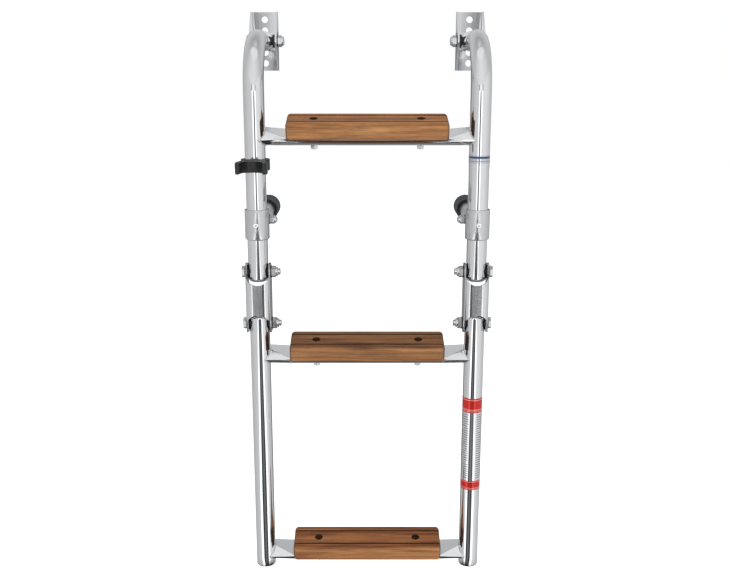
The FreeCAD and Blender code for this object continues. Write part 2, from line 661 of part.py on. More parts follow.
for side, sign in SIDES:
    b = new_body("link_" + side)
    half, wall = d.link_wide / 2, d.link_wall
    front, back = -d.link_front, d.link_back
    z_top = -(d.upper_hinge_drop - d.link_over)
    z_foot = -(d.lower_hinge_drop + d.link_over)
    sk = new_sketch(b, "XY_Plane", "link_section_" + side, z_foot)
    add_polygon(sk, [(-half, back), (-half, front), (half, front), (half, back),
                     (half - wall, back), (half - wall, front + wall),
                     (wall - half, front + wall), (wall - half, back)])
    pad(b, "link_channel_" + side, sk, z_top - z_foot)
    dress(b, "Fillet", "link_bend_" + side, d.link_corner,
          lambda c, e: is_line(e, "z") and near(abs(c.x), half.v)
          and near(c.y, front.v), 2)
    dress(b, "Fillet", "link_root_" + side, d.link_corner - wall,
          lambda c, e: is_line(e, "z") and near(abs(c.x), half.v - wall.v)
          and near(c.y, (front + wall).v), 2)
    r = d.link_notch_radius
    deep = d.link_corner + 0.6
    for end, pivot, edge in (("upper", -d.upper_hinge_drop, z_top + 1),
                             ("lower", -d.lower_hinge_drop, z_foot - 1)):
        sk = new_sketch(b, "XZ_Plane", "link_notch_sketch_%s_%s" % (end, side), d.link_front)
        add_circle(sk, 0, pivot, r)
        pocket(b, "link_notch_%s_%s" % (end, side), sk, deep)
        sk = new_sketch(b, "XZ_Plane", "link_mouth_sketch_%s_%s" % (end, side), d.link_front)
        rectangle(sk, -r, r, pivot, edge)
        pocket(b, "link_mouth_%s_%s" % (end, side), sk, deep)
    dress(b, "Fillet", "link_back_corner_" + side, d.link_back_round,
          lambda c, e: is_line(e, "x") and near(c.y, back.v)
          and (near(c.z, z_top.v) or near(c.z, z_foot.v)), 4)
    sk = new_sketch(b, "YZ_Plane", "link_front_corner_sketch_" + side)
    cut = d.link_front_round
    for z, s in ((z_top, 1), (z_foot, -1)):
        add_polygon(sk, [(front - 1, z + s * 1), (front + cut, z + s * 1),
                         (front + cut, z), (front + cut * 0.55, z - s * cut * 0.14),
                         (front + cut * 0.14, z - s * cut * 0.5),
                         (front, z - s * cut * 0.95), (front - 1, z - s * cut * 0.95)])
    pocket(b, "link_front_corner_" + side, sk)
    sk = new_sketch(b, "YZ_Plane", "link_hole_sketch_" + side)
    add_circle(sk, 0, -d.upper_hinge_drop, d.bolt_hole_dia / 2)
    add_circle(sk, 0, -d.lower_hinge_drop, d.bolt_hole_dia / 2)
    pocket(b, "link_holes_" + side, sk)
    keep(place(b, sign * d.rail_half, -d.rail_depth), "link_" + side)


# --------------------------------------------------- pressed cross tubes
# A round tube whose top is pressed to a flat face from the rail on, which sinks
# to the seat under the wood, while its lower half stays round. Its skin runs
# through closed sections: an arc below and a chord above. Neither a pad
# nor a loft of constrained sketches keeps the four matching edges, so the
# skin is made here from sections, with the sheet's sizes.

def pressed_section(x, chord, spread, radius):
    """Four-edged section in the plane at x, cut by a chord at that height."""
    def at(angle):
        return Vector(x, spread * radius * math.sin(angle), radius * math.cos(angle))

    edge_angle = math.acos(chord / radius)
    low = math.radians(135)
    mid = (edge_angle + low) / 2
    p = [at(-edge_angle), at(edge_angle), at(low), at(-low)]
    return Part.Wire([Part.LineSegment(p[0], p[1]).toShape(),
                      Part.Arc(p[1], at(mid), p[2]).toShape(),
                      Part.Arc(p[2], at(math.pi), p[3]).toShape(),
                      Part.Arc(p[3], at(-mid), p[0]).toShape()])


def pressed_skin(inset):
    radius = d.tube_dia.v / 2 - inset
    seat_at = d.seat_rise.v - inset
    near_at = d.press_near.v - inset
    spread = 1 + (d.press_spread.v - 1) * (1 if inset == 0 else 0.97)
    x0, x1 = d.press_end.v, d.rail_half.v
    flat = pressed_section(-x0, seat_at, spread, radius)
    pieces = [Part.Face(flat).extrude(Vector(2 * x0, 0, 0))]
    for s in (-1, 1):
        wires = [pressed_section(s * x1, near_at, 1, radius),
                 pressed_section(s * x0, seat_at, spread, radius)]
        pieces.append(Part.makeLoft(wires, True, True))
    return pieces[0].multiFuse(pieces[1:]).removeSplitter()


def cross_tube_shape():
    body = pressed_skin(0.0).cut(pressed_skin(d.tube_wall.v))
    # the pressed face leans a little more than the tread
    body.rotate(Vector(0, 0, 0), Vector(1, 0, 0), d.seat_lean.v)
    # each end is coped to the rail; the rail runs square to the cross tube,
    # turned back by the tilt of the tread
    tilt = d.tread_tilt.v
    axis = Rotation(Vector(1, 0, 0), -tilt).multVec(Vector(0, 0, 1))
    for s in (-1, 1):
        start = Vector(s * d.rail_half.v, 0, 0) - axis * 40
        body = body.cut(Part.makeCylinder(d.tube_dia.v / 2 + 0.02, 80, start, axis))
        hole = Part.makeCylinder(d.screw_hole_dia.v / 2, 60,
                                 Vector(s * d.screw_offset.v, 0, -30), Vector(0, 0, 1))
        body = body.cut(hole)
    return max(body.Solids, key=lambda q: q.Volume)


LEVELS = (("top", d.top_cross_drop), ("middle", d.middle_cross_drop),
          ("bottom", d.bottom_cross_drop))
TILT = Rotation(Vector(1, 0, 0), d.tread_tilt.v)
cross_shape = cross_tube_shape()
for level, drop in LEVELS:
    f = doc.addObject("Part::Feature", "cross_tube_" + level)
    f.Shape = cross_shape.copy()
    keep(place(f, 0, -d.rail_depth, -drop, TILT), "cross_tube_" + level)


# -------------------------------------------------------------------- treads
# Plank with its underside on the cross tube's axis and a shallow channel that
# seats on the pressed face.

for level, drop in LEVELS:
    b = new_body("tread_" + level)
    sk = new_sketch(b, "XY_Plane", "tread_plan_" + level)
    rectangle(sk, -d.tread_long / 2, d.tread_long / 2, -d.tread_deep / 2, d.tread_deep / 2)
    pad(b, "tread_block_" + level, sk, d.tread_thick)
    crown = d.tread_thick.v
    dress(b, "Fillet", "tread_corner_" + level, d.tread_corner,
          lambda c, e: is_line(e, "z"), 4)
    dress(b, "Fillet", "tread_top_edge_" + level, d.tread_top_round,
          lambda c, e: near(c.z, crown))
    dress(b, "Fillet", "tread_foot_edge_" + level, d.tread_foot_round,
          lambda c, e: near(c.z, 0))
    sk = new_sketch(b, "YZ_Plane", "tread_channel_sketch_" + level)
    lean = math.radians(d.seat_lean.v)
    roof = d.seat_rise / math.cos(lean)
    slant = d.channel_half * math.tan(lean)
    add_polygon(sk, [(-d.channel_half, -1), (d.channel_half, -1),
                     (d.channel_half, roof + slant), (-d.channel_half, roof - slant)])
    pocket(b, "tread_channel_" + level, sk)
    sk = new_sketch(b, "XY_Plane", "tread_groove_sketch_" + level, d.tread_thick)
    for s in (-1, 1):
        rectangle(sk, -d.tread_long, d.tread_long,
                  s * d.groove_offset - d.groove_wide / 2,
                  s * d.groove_offset + d.groove_wide / 2)
    pocket(b, "tread_grooves_" + level, sk, d.groove_deep)
    sk = new_sketch(b, "XY_Plane", "tread_sink_sketch_" + level, d.tread_thick)
    for s in (-1, 1):
        add_circle(sk, s * d.screw_offset, 0, d.sink_dia / 2)
    pocket(b, "tread_sinks_" + level, sk, d.sink_deep)
    sk = new_sketch(b, "XY_Plane", "tread_hole_sketch_" + level)
    for s in (-1, 1):
        add_circle(sk, s * d.screw_offset, 0, d.screw_hole_dia / 2)
    pocket(b, "tread_holes_" + level, sk)
    keep(place(b, 0, -d.rail_depth, -drop, TILT), "tread_" + level)

# tread screw and nut, upright on the Z axis of the tread's own frame
head_seat = d.tread_thick - d.sink_deep
belly = d.tube_dia / 2 + 0.03
screw = new_body("tread_screw_form")
sk = new_sketch(screw, "XY_Plane", "tread_screw_head_sketch", head_seat)
add_circle(sk, 0, 0, d.screw_head_dia / 2)
pad(screw, "tread_screw_head", sk, d.screw_head_tall)
dress(screw, "Fillet", "tread_screw_crown", d.screw_head_tall * 0.35,
      lambda c, e: near(c.z, (head_seat + d.screw_head_tall).v), 1)
sk = new_sketch(screw, "XY_Plane", "tread_screw_shank_sketch", head_seat)
add_circle(sk, 0, 0, d.screw_dia / 2)
pad(screw, "tread_screw_shank", sk,
    head_seat + belly + d.small_nut_tall + d.screw_end, reverse=True)
sk = new_sketch(screw, "XY_Plane", "tread_screw_socket_sketch", head_seat + d.screw_head_tall)
add_hexagon(sk, 0, 0, d.screw_socket)
pocket(screw, "tread_screw_socket", sk, d.screw_head_tall * 0.65)

nut = new_body("tread_nut_form")
sk = new_sketch(nut, "XY_Plane", "tread_nut_sketch", -belly)
add_hexagon(sk, 0, 0, d.small_nut_flats)
pad(nut, "tread_nut_body", sk, d.small_nut_tall, reverse=True)
nut_low = -(belly + d.small_nut_tall).v
dress(nut, "Chamfer", "tread_nut_edge", d.small_nut_tall * 0.1,
      lambda c, e: near(c.z, nut_low) and isinstance(e.Curve, Part.Line), 6)
sk = new_sketch(nut, "XY_Plane", "tread_nut_bore_sketch")
add_circle(sk, 0, 0, (d.screw_dia + 0.1) / 2)
pocket(nut, "tread_nut_bore", sk)

for level, drop in LEVELS:
    for form, label in ((screw, "tread_screws_"), (nut, "tread_nuts_")):
        group(label + level, [
            link(form, "%s%s_%s" % (label, level, side), sign * d.screw_offset,
                 -d.rail_depth, -drop, TILT) for side, sign in SIDES])


# ---------------------------------------------------------------- stand-offs

for side, sign in SIDES:
    # sleeve that slides on the rail, with a spigot that carries the arm
    b = new_body("standoff_sleeve_" + side)
    low = -(d.sleeve_top_drop + d.sleeve_tall)
    sk = new_sketch(b, "XY_Plane", "sleeve_section_" + side, low)
    add_circle(sk, 0, 0, d.sleeve_dia / 2)
    pad(b, "sleeve_bar_" + side, sk, d.sleeve_tall)
    dress(b, "Chamfer", "sleeve_bevel_" + side, d.sleeve_bevel,
          lambda c, e: isinstance(e.Curve, Part.Circle) and near(c.z, low.v), 1)
    sk = new_sketch(b, "XZ_Plane", "spigot_section_" + side, -(d.rail_depth - d.spigot_end))
    add_circle(sk, 0, -d.arm_drop, d.spigot_dia / 2)
    pad(b, "spigot_bar_" + side, sk, d.rail_depth - d.spigot_end)
    sk = new_sketch(b, "XY_Plane", "sleeve_bore_section_" + side, low)
    add_circle(sk, 0, 0, d.sleeve_bore / 2)
    pocket(b, "sleeve_bore_" + side, sk)
    sk = new_sketch(b, "XZ_Plane", "sleeve_screw_sketch_" + side, d.sleeve_dia / 2 + 1)
    add_circle(sk, 0, -d.arm_drop, (d.grub_dia + 0.1) / 2)
    pocket(b, "sleeve_screw_hole_" + side, sk, d.sleeve_dia / 2)
    sk = new_sketch(b, "YZ_Plane", "spigot_hole_sketch_" + side)
    add_circle(sk, d.rail_depth - d.arm_bolt_depth, -d.arm_drop, d.arm_bolt_hole / 2)
    pocket(b, "spigot_hole_" + side, sk)
    keep(place(b, sign * d.rail_half, -d.rail_depth), "standoff_sleeve_" + side)

    # arm: tube over the spigot, its front end coped to the sleeve
    b = new_body("standoff_arm_" + side)
    sk = new_sketch(b, "XZ_Plane", "arm_section_" + side, -(d.rail_depth - d.arm_end))
    add_circle(sk, 0, -d.arm_drop, d.arm_dia / 2)
    add_circle(sk, 0, -d.arm_drop, d.arm_dia / 2 - d.arm_wall)
    pad(b, "arm_bar_" + side, sk, d.rail_depth - d.arm_end - 5)
    sk = new_sketch(b, "XY_Plane", "arm_cope_sketch_" + side)
    add_circle(sk, 0, 0, d.sleeve_dia / 2 + 0.05)
    pocket(b, "arm_cope_" + side, sk)
    sk = new_sketch(b, "YZ_Plane", "arm_hole_sketch_" + side)
    add_circle(sk, d.rail_depth - d.arm_bolt_depth, -d.arm_drop, d.arm_bolt_hole / 2)
    pocket(b, "arm_hole_" + side, sk)
    keep(place(b, sign * d.rail_half, -d.rail_depth), "standoff_arm_" + side)

    # rubber pad pushed over the end of the arm, its face on the hull plane
    b = new_body("standoff_pad_" + side)
    sk = new_sketch(b, "XZ_Plane", "pad_section_" + side)
    add_circle(sk, 0, -d.arm_drop, d.pad_dia / 2)
    pad(b, "pad_block_" + side, sk, d.pad_long)
    dress(b, "Fillet", "pad_edges_" + side, d.pad_round,
          lambda c, e: isinstance(e.Curve, Part.Circle), 2)
    sk = new_sketch(b, "XZ_Plane", "pad_bore_sketch_" + side, d.pad_long)
    add_circle(sk, 0, -d.arm_drop, d.pad_bore / 2)
    pocket(b, "pad_bore_" + side, sk, d.pad_long - d.arm_end)
    sk = new_sketch(b, "XZ_Plane", "pad_mouth_sketch_" + side, d.pad_long)
    add_circle(sk, 0, -d.arm_drop, d.pad_mouth / 2)
    pocket(b, "pad_mouth_" + side, sk, d.pad_mouth_deep)
    # one flute along the side, repeated round the pad
    flute_body_axis = new_sketch(b, "XZ_Plane", "pad_flute_sketch_" + side, d.pad_long * 0.12)
    add_polygon(flute_body_axis, [
        (-0.62, -d.arm_drop + d.pad_dia / 2 + 0.3),
        (0.62, -d.arm_drop + d.pad_dia / 2 + 0.3),
        (0.28, -d.arm_drop + d.pad_dia / 2 - d.rib_groove),
        (-0.28, -d.arm_drop + d.pad_dia / 2 - d.rib_groove)])
    centre = new_sketch(b, "XZ_Plane", "pad_axis_sketch_" + side)
    add_circle(centre, 0, -d.arm_drop, 1)
    before = b.Shape.Volume
    flute = feature(b, "Pocket", "pad_flute_" + side, flute_body_axis)
    flute.Type = "Length"
    bind(flute, "Length", d.pad_long * 0.76)
    flute.Reversed = True
    doc.recompute()
    if not b.Shape.Volume < before - 1e-3:
        raise RuntimeError("pad flute removes nothing")
    ring = b.newObject("PartDesign::PolarPattern", "pad_flutes_" + side)
    ring.Originals = [flute]
    ring.Axis = (centre, ["N_Axis"])
    ring.Angle = 360
    ring.Occurrences = 32
    b.Tip = ring
    # the pattern turns about the sketch's own normal, which is put on the pad's axis
    bind(centre, "AttachmentOffset.Base.y", -d.arm_drop)
    doc.recompute()
    keep(place(b, sign * d.rail_half), "standoff_pad_" + side)

# cross bolt, washers and cap nut of each arm: head outwards, nut inwards
arm_half = d.arm_dia / 2
arm_bolt = hex_bolt("arm_bolt_form", -arm_half - d.arm_washer_thick,
                    arm_half + d.arm_washer_thick + d.arm_nut_tall - 0.6,
                    d.arm_bolt_dia, d.arm_head_flats, d.arm_head_tall)
cap_nut = new_body("arm_nut_form")
nut_start = arm_half + d.arm_washer_thick
sk = new_sketch(cap_nut, "YZ_Plane", "arm_nut_hexagon", nut_start)
add_hexagon(sk, 0, 0, d.arm_head_flats)
pad(cap_nut, "arm_nut_body", sk, d.arm_nut_tall)
sk = new_sketch(cap_nut, "XY_Plane", "arm_nut_dome_sketch")
dome = d.arm_head_flats * 0.475
add_polygon(sk, [(nut_start + d.arm_nut_tall, 0), (nut_start + d.arm_nut_tall + 3.9, 0),
                 (nut_start + d.arm_nut_tall + 3.7, dome * 0.36),
                 (nut_start + d.arm_nut_tall + 3.0, dome * 0.68),
                 (nut_start + d.arm_nut_tall + 1.7, dome * 0.92),
                 (nut_start + d.arm_nut_tall, dome)])
feature(cap_nut, "Revolution", "arm_nut_dome", sk,
        ReferenceAxis=(origin_part(cap_nut, "X_Axis"), [""]), Angle=360)
doc.recompute()
sk = new_sketch(cap_nut, "YZ_Plane", "arm_nut_bore_sketch", nut_start)
add_circle(sk, 0, 0, (d.arm_bolt_dia + 0.1) / 2)
pocket(cap_nut, "arm_nut_bore", sk, d.arm_nut_tall - 0.3, reverse=True)
arm_washer = ring_x("arm_washer_form", arm_half, arm_half + d.arm_washer_thick,
                    d.arm_washer_dia, d.arm_bolt_hole)

# locking screw of the sleeve, on the Y axis, clear of the rail by a hair
grub = new_body("grub_form")
grub_tip = d.tube_dia / 2 + 0.35
grub_front = d.sleeve_dia / 2 + d.grub_proud
sk = new_sketch(grub, "XZ_Plane", "grub_section", grub_tip)
add_circle(sk, 0, 0, d.grub_dia / 2)
pad(grub, "grub_bar", sk, grub_front - grub_tip)
dress(grub, "Chamfer", "grub_edge", d.grub_dia * 0.08,
      lambda c, e: isinstance(e.Curve, Part.Circle) and near(c.y, -grub_front.v), 1)
sk = new_sketch(grub, "XZ_Plane", "grub_socket_sketch", grub_front)
add_hexagon(sk, 0, 0, d.grub_socket)
pocket(grub, "grub_socket", sk, d.grub_proud * 1.6)

for side, sign in SIDES:
    at = (sign * d.rail_half, -d.arm_bolt_depth, -d.arm_drop, facing(sign))
    group("standoff_bolt_" + side, [link(arm_bolt, "arm_bolt_at_" + side, *at)])
    group("standoff_nut_" + side, [link(cap_nut, "arm_nut_at_" + side, *at)])
    group("standoff_washers_" + side, [
        link(arm_washer, "arm_washer_%s_%s" % (side, end), sign * d.rail_half,
             -d.arm_bolt_depth, -d.arm_drop, turn)
        for end, turn in (("in", Rotation()), ("out", TURN))])
    group("standoff_lock_screw_" + side, [
        link(grub, "grub_at_" + side, sign * d.rail_half, -d.rail_depth, -d.arm_drop)])


# ---------------------------------------------------------------------- clip
# Two back-to-back open jaws: the rear one snaps on the left rail, the front
# one takes the folded-up lower tube.

clip = new_body("stowing_clip")
ring_at, jaw_at = -d.rail_depth, -d.clip_jaw_depth
sk = new_sketch(clip, "XY_Plane", "clip_ring_sketch")
add_circle(sk, 0, ring_at, d.clip_ring_half)
pad(clip, "clip_ring", sk, d.clip_tall, reverse=True)
sk = new_sketch(clip, "XY_Plane", "clip_jaw_sketch")
half, waist = d.clip_jaw_half, d.clip_waist_half
back = d.clip_jaw_radius + 4.0
add_polygon(sk, [(-half, -d.clip_tip_depth), (half, -d.clip_tip_depth),
                 (half, jaw_at + 7), (waist + 2, jaw_at + back),
                 (waist, ring_at - 14), (waist, ring_at), (-waist, ring_at),
                 (-waist, ring_at - 14), (-waist - 2, jaw_at + back),
                 (-half, jaw_at + 7)])
pad(clip, "clip_jaw", sk, d.clip_tall, reverse=True)
dress(clip, "Fillet", "clip_tips", lift(2.4),
      lambda c, e: is_line(e, "z") and near(c.y, -d.clip_tip_depth.v), 2)
dress(clip, "Fillet", "clip_shoulders", lift(5.0),
      lambda c, e: is_line(e, "z") and near(c.y, (jaw_at + 7).v), 2)
sk = new_sketch(clip, "XY_Plane", "clip_bores_sketch")
add_circle(sk, 0, ring_at, d.clip_ring_radius)
add_circle(sk, 0, jaw_at, d.clip_jaw_radius)
pocket(clip, "clip_bores", sk)
sk = new_sketch(clip, "XY_Plane", "clip_mouths_sketch")
rectangle(sk, -d.clip_jaw_radius, d.clip_jaw_radius, -d.clip_tip_depth - 1, jaw_at)
add_polygon(sk, [(-5.0, ring_at + 9), (5.0, ring_at + 9),
                 (11.0, ring_at + 20), (-11.0, ring_at + 20)])
pocket(clip, "clip_mouths", sk)
# ribs left standing on the flanks: a recess above and below the waist
sk = new_sketch(clip, "XY_Plane", "clip_recess_sketch")
add_polygon(sk, [(-waist + 3, ring_at - 17), (waist - 3, ring_at - 17),
                 (waist - 5, jaw_at + d.clip_jaw_radius + 5.5),
                 (-waist + 5, jaw_at + d.clip_jaw_radius + 5.5)])
pocket(clip, "clip_recess", sk, d.clip_tall * 0.18)
keep(place(clip, -d.rail_half, 0, -d.clip_top_drop), "stowing_clip")


# --------------------------------------------------------------------- films

for name, label, top, tall, depth in (
        ("label", "safety_label", d.label_top_drop, d.label_tall, d.rail_depth),
        ("band", "plain_band", d.band_top_drop, d.band_tall, d.rail_depth)):
    b = new_body(name + "_film")
    sk = new_sketch(b, "XY_Plane", name + "_ring", -(top + tall))
    inner = d.tube_dia / 2 + d.film_gap
    add_circle(sk, 0, 0, inner)
    add_circle(sk, 0, 0, inner + d.film_thick)
    pad(b, name + "_wrap", sk, tall)
    keep(place(b, d.rail_half, -depth), label)


# ------------------------------------------------------------ check and write

doc.recompute()
for obj in doc.Objects:
    state = getattr(obj, "State", [])
    if "Invalid" in state or "Error" in state:
        raise RuntimeError("%s: %s" % (obj.Name, state))
names = [obj.Label for obj in SUBPARTS]
if len(set(names)) != len(names) or len(names) > 60:
    raise RuntimeError("labels: %d" % len(names))
os.makedirs("parts", exist_ok=True)
for obj in SUBPARTS:
    shape = obj.Shape
    if shape.isNull() or not shape.isValid() or not shape.Solids:
        raise RuntimeError(obj.Label + " has no valid solid")
    shape.exportStep(os.path.join("parts", obj.Label + ".step"))
print("%d sub-parts written" % len(SUBPARTS))
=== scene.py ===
import math

import bmesh
import bpy
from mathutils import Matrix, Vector


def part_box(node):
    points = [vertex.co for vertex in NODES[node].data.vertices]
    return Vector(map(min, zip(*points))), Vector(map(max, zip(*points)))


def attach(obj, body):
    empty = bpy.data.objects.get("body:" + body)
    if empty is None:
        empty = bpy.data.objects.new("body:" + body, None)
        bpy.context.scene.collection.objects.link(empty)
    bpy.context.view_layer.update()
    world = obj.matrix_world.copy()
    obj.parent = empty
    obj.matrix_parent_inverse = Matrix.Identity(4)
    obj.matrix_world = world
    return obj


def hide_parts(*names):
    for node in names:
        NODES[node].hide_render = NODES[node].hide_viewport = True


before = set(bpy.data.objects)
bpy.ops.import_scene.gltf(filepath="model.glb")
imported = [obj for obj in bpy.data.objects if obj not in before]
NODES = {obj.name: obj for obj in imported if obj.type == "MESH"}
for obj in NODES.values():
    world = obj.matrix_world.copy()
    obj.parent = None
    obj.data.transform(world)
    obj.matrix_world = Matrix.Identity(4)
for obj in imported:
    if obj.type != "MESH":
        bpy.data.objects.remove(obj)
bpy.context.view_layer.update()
MM = 0.001
TILT = math.radians(15.0)
SIDES = (("left", -1), ("right", 1))
LEVELS = (("top", -111.0), ("middle", -384.5), ("bottom", -658.2))
BODY_OF_LEVEL = {"top": "upper_section", "middle": "lower_section", "bottom": "lower_section"}


def mid(node):
    lo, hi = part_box(node)
    return (lo + hi) / 2 / MM


# where the rails stand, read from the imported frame
RAIL_X = mid("lower_tube_right").x
RAIL_Y = mid("lower_tube_right").y
RAIL_R = 12.5
FOOT_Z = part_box("lower_tube_left")[0].z / MM


# ------------------------------------------------------------------ materials

class Shader:
    """A short way to write node trees."""

    def __init__(self, name):
        self.mat = bpy.data.materials.new(name)
        self.mat.use_nodes = True
        self.nt = self.mat.node_tree
        self.nt.nodes.clear()
        self.out = self.add("ShaderNodeOutputMaterial")
        self.bsdf = self.add("ShaderNodeBsdfPrincipled")
        self.link(self.bsdf.outputs[0], self.out.inputs[0])
        self.coord = self.add("ShaderNodeTexCoord").outputs["Object"]

    def add(self, kind, **props):
        n = self.nt.nodes.new(kind)
        for k, v in props.items():
            setattr(n, k, v)
        return n

    def link(self, a, b):
        self.nt.links.new(a, b)

    def feed(self, socket, value):
        if isinstance(value, bpy.types.NodeSocket):
            self.link(value, socket)
        else:
            socket.default_value = value

    def scaled(self, x, y, z, vec=None, loc=(0, 0, 0), rot=(0, 0, 0)):
        n = self.add("ShaderNodeMapping")
        n.inputs["Scale"].default_value = (x, y, z)
        n.inputs["Location"].default_value = loc
        n.inputs["Rotation"].default_value = rot
        self.link(vec or self.coord, n.inputs["Vector"])
        return n.outputs[0]

    def noise(self, vec, scale=1.0, detail=4.0, rough=0.55, distort=0.0):
        n = self.add("ShaderNodeTexNoise")
        self.link(vec, n.inputs["Vector"])
        n.inputs["Scale"].default_value = scale
        n.inputs["Detail"].default_value = detail
        n.inputs["Roughness"].default_value = rough
        n.inputs["Distortion"].default_value = distort
        return n.outputs[0]

    def ramp(self, fac, stops, kind="LINEAR"):
        n = self.add("ShaderNodeValToRGB")
        cr = n.color_ramp
        cr.interpolation = kind
        while len(cr.elements) < len(stops):
            cr.elements.new(0.5)
        for e, (p, c) in zip(cr.elements, stops):
            e.position = p
            e.color = tuple(c) + (1.0,) if len(c) == 3 else c
        self.link(fac, n.inputs[0])
        return n.outputs[0]

    def grey(self, fac, stops, kind="LINEAR"):
        return self.ramp(fac, [(p, (v, v, v)) for p, v in stops], kind)

    def math(self, op, a, b=0.0, c=0.0, clamp=False):
        n = self.add("ShaderNodeMath", operation=op, use_clamp=clamp)
        self.feed(n.inputs[0], a)
        self.feed(n.inputs[1], b)
        self.feed(n.inputs[2], c)
        return n.outputs[0]

    def remap(self, v, a0, a1, b0, b1):
        n = self.add("ShaderNodeMapRange")
        self.link(v, n.inputs["Value"])
        for key, val in (("From Min", a0), ("From Max", a1), ("To Min", b0), ("To Max", b1)):
            n.inputs[key].default_value = val
        return n.outputs[0]

    def mix(self, fac, a, b, mode="MIX"):
        n = self.add("ShaderNodeMix", data_type="RGBA", blend_type=mode)
        self.feed(n.inputs[0], fac)
        self.feed(n.inputs[6], a)
        self.feed(n.inputs[7], b)
        return n.outputs[2]

    def split(self, vec):
        n = self.add("ShaderNodeSeparateXYZ")
        self.link(vec, n.inputs[0])
        return n.outputs

    def bump(self, height, strength, distance, normal=None):
        n = self.add("ShaderNodeBump")
        n.inputs["Strength"].default_value = strength
        n.inputs["Distance"].default_value = distance
        self.link(height, n.inputs["Height"])
        if normal is not None:
            self.link(normal, n.inputs["Normal"])
        return n.outputs[0]

    def set(self, **values):
        for k, v in values.items():
            self.feed(self.bsdf.inputs[k.replace("_", " ")], v)


def steel(name, tone, rough, spread, brush=(260, 260, 12), brush_depth=0.05, wave=0.0,
          aniso=0.0):
    """Stainless steel: cool base, smudges in roughness, fine brushing or polish lines."""
    s = Shader(name)
    smudge = s.noise(s.scaled(38, 38, 26), 1.0, 5, 0.6, 0.4)
    lines = s.noise(s.scaled(*brush), 1.0, 3, 0.6)
    base = s.ramp(smudge, [(0.30, tuple(c * 0.965 for c in tone)), (0.70, tone)])
    streak = s.grey(lines, [(0.25, 1.0 - spread * 0.35), (0.75, 1.0)])
    s.set(Base_Color=s.mix(1.0, base, streak, "MULTIPLY"), Metallic=1.0)
    r = s.math("ADD", s.remap(smudge, 0.3, 0.7, rough, rough + spread * 0.35),
               s.remap(lines, 0.3, 0.7, 0.0, spread * 0.65))
    s.set(Roughness=r)
    n = s.bump(lines, brush_depth, 0.00008)
    if wave:
        n = s.bump(s.noise(s.scaled(26, 60, 60), 1.0, 2, 0.4), wave, 0.0012, n)
    s.set(Normal=n)
    if aniso:
        s.set(Anisotropic=aniso)
    return s.mat


def black_plastic(name, tone, rough, grain, depth):
    s = Shader(name)
    fine = s.noise(s.scaled(grain, grain, grain), 1.0, 6, 0.65)
    broad = s.noise(s.scaled(60, 60, 60), 1.0, 3, 0.5)
    s.set(Base_Color=s.ramp(broad, [(0.3, tuple(c * 0.8 for c in tone)), (0.7, tuple(c * 1.15 for c in tone))]),
          Roughness=s.math("ADD", s.remap(fine, 0.3, 0.7, rough - 0.06, rough + 0.06),
                           s.remap(broad, 0.3, 0.7, -0.04, 0.05)),
          Specular_IOR_Level=0.45,
          Normal=s.bump(fine, depth, 0.0002))
    return s.mat


def teak(name, level_z, tones, seed, painted_top_tone):
    """Oiled teak with the grain along X, in the tread's own tilted frame."""
    s = Shader(name)
    m = s.add("ShaderNodeMapping", vector_type="TEXTURE")
    m.inputs["Location"].default_value = (0.0, RAIL_Y * MM, level_z * MM)
    m.inputs["Rotation"].default_value = (TILT, 0.0, 0.0)
    s.link(s.coord, m.inputs["Vector"])
    p = m.outputs[0]
    x, v, w = s.split(p)
    figure = s.noise(s.scaled(5.5, 95, 95, p, (seed, seed * 1.7, 0)), 1.0, 5, 0.55, 0.9)
    streaks = s.noise(s.scaled(22, 720, 720, p, (seed, 0, seed)), 1.0, 5, 0.62, 0.25)
    pores = s.noise(s.scaled(75, 2100, 2100, p, (0, seed, seed)), 1.0, 3, 0.5, 0.0)
    dark, brown, tan, light = tones
    base = s.ramp(figure, [(0.20, dark), (0.40, brown), (0.56, tan), (0.78, light)])
    lines = s.grey(streaks, [(0.30, 0.42), (0.44, 0.84), (0.62, 1.16)])
    col = s.mix(0.95, base, lines, "MULTIPLY")
    pore = s.grey(pores, [(0.30, 0.45), (0.40, 1.0)])
    col = s.mix(0.8, col, pore, "MULTIPLY")
    # painted light and shade: the top face gets its own tone to stand in for how the light falls on it, lighter on the
    # top tread and darker on the two below
    painted_top_light = s.remap(w, 0.0185, 0.0200, 0.0, 1.0)
    col = s.mix(painted_top_light, col, s.mix(1.0, col, tuple(painted_top_tone) + (1,), "MULTIPLY"))
    # end grain is a little darker in its own right; the strong darkening of the end faces is painted shade, also to
    # darken their reflection in the rails
    ends = s.remap(s.math("ABSOLUTE", x), 0.0945, 0.0962, 0.0, 0.88)
    rings = s.noise(s.scaled(40, 260, 260, p, (seed, 0, 0)), 1.0, 3, 0.5, 0.4)
    end_grain_and_shade = s.ramp(rings, [(0.35, (0.016, 0.008, 0.005)), (0.65, (0.042, 0.020, 0.011))])
    col = s.mix(ends, col, end_grain_and_shade)
    # painted shade: the grooves and the screw wells are darkened to near black and made rougher
    off = s.math("ABSOLUTE", s.math("SUBTRACT", s.math("ABSOLUTE", v), 0.0115))
    groove = s.math("MULTIPLY", s.math("LESS_THAN", off, 0.00118),
                    s.math("GREATER_THAN", w, 0.0165))
    dx = s.math("SUBTRACT", s.math("ABSOLUTE", x), 0.064)
    far = s.math("SQRT", s.math("ADD", s.math("MULTIPLY", dx, dx), s.math("MULTIPLY", v, v)))
    well = s.math("MULTIPLY", s.math("LESS_THAN", far, 0.00518),
                  s.math("GREATER_THAN", w, 0.0130))
    recess_shade = s.math("MAXIMUM", groove, well)
    col = s.mix(s.math("MULTIPLY", recess_shade, 0.86), col, (0.022, 0.010, 0.006, 1))
    s.set(Base_Color=col,
          Roughness=s.math("ADD", s.remap(streaks, 0.3, 0.7, 0.58, 0.46), s.math("MULTIPLY", recess_shade, 0.3)),
          Specular_IOR_Level=0.24,
          Normal=s.bump(pores, 0.25, 0.0002, s.bump(streaks, 0.35, 0.0004)))
    return s.mat


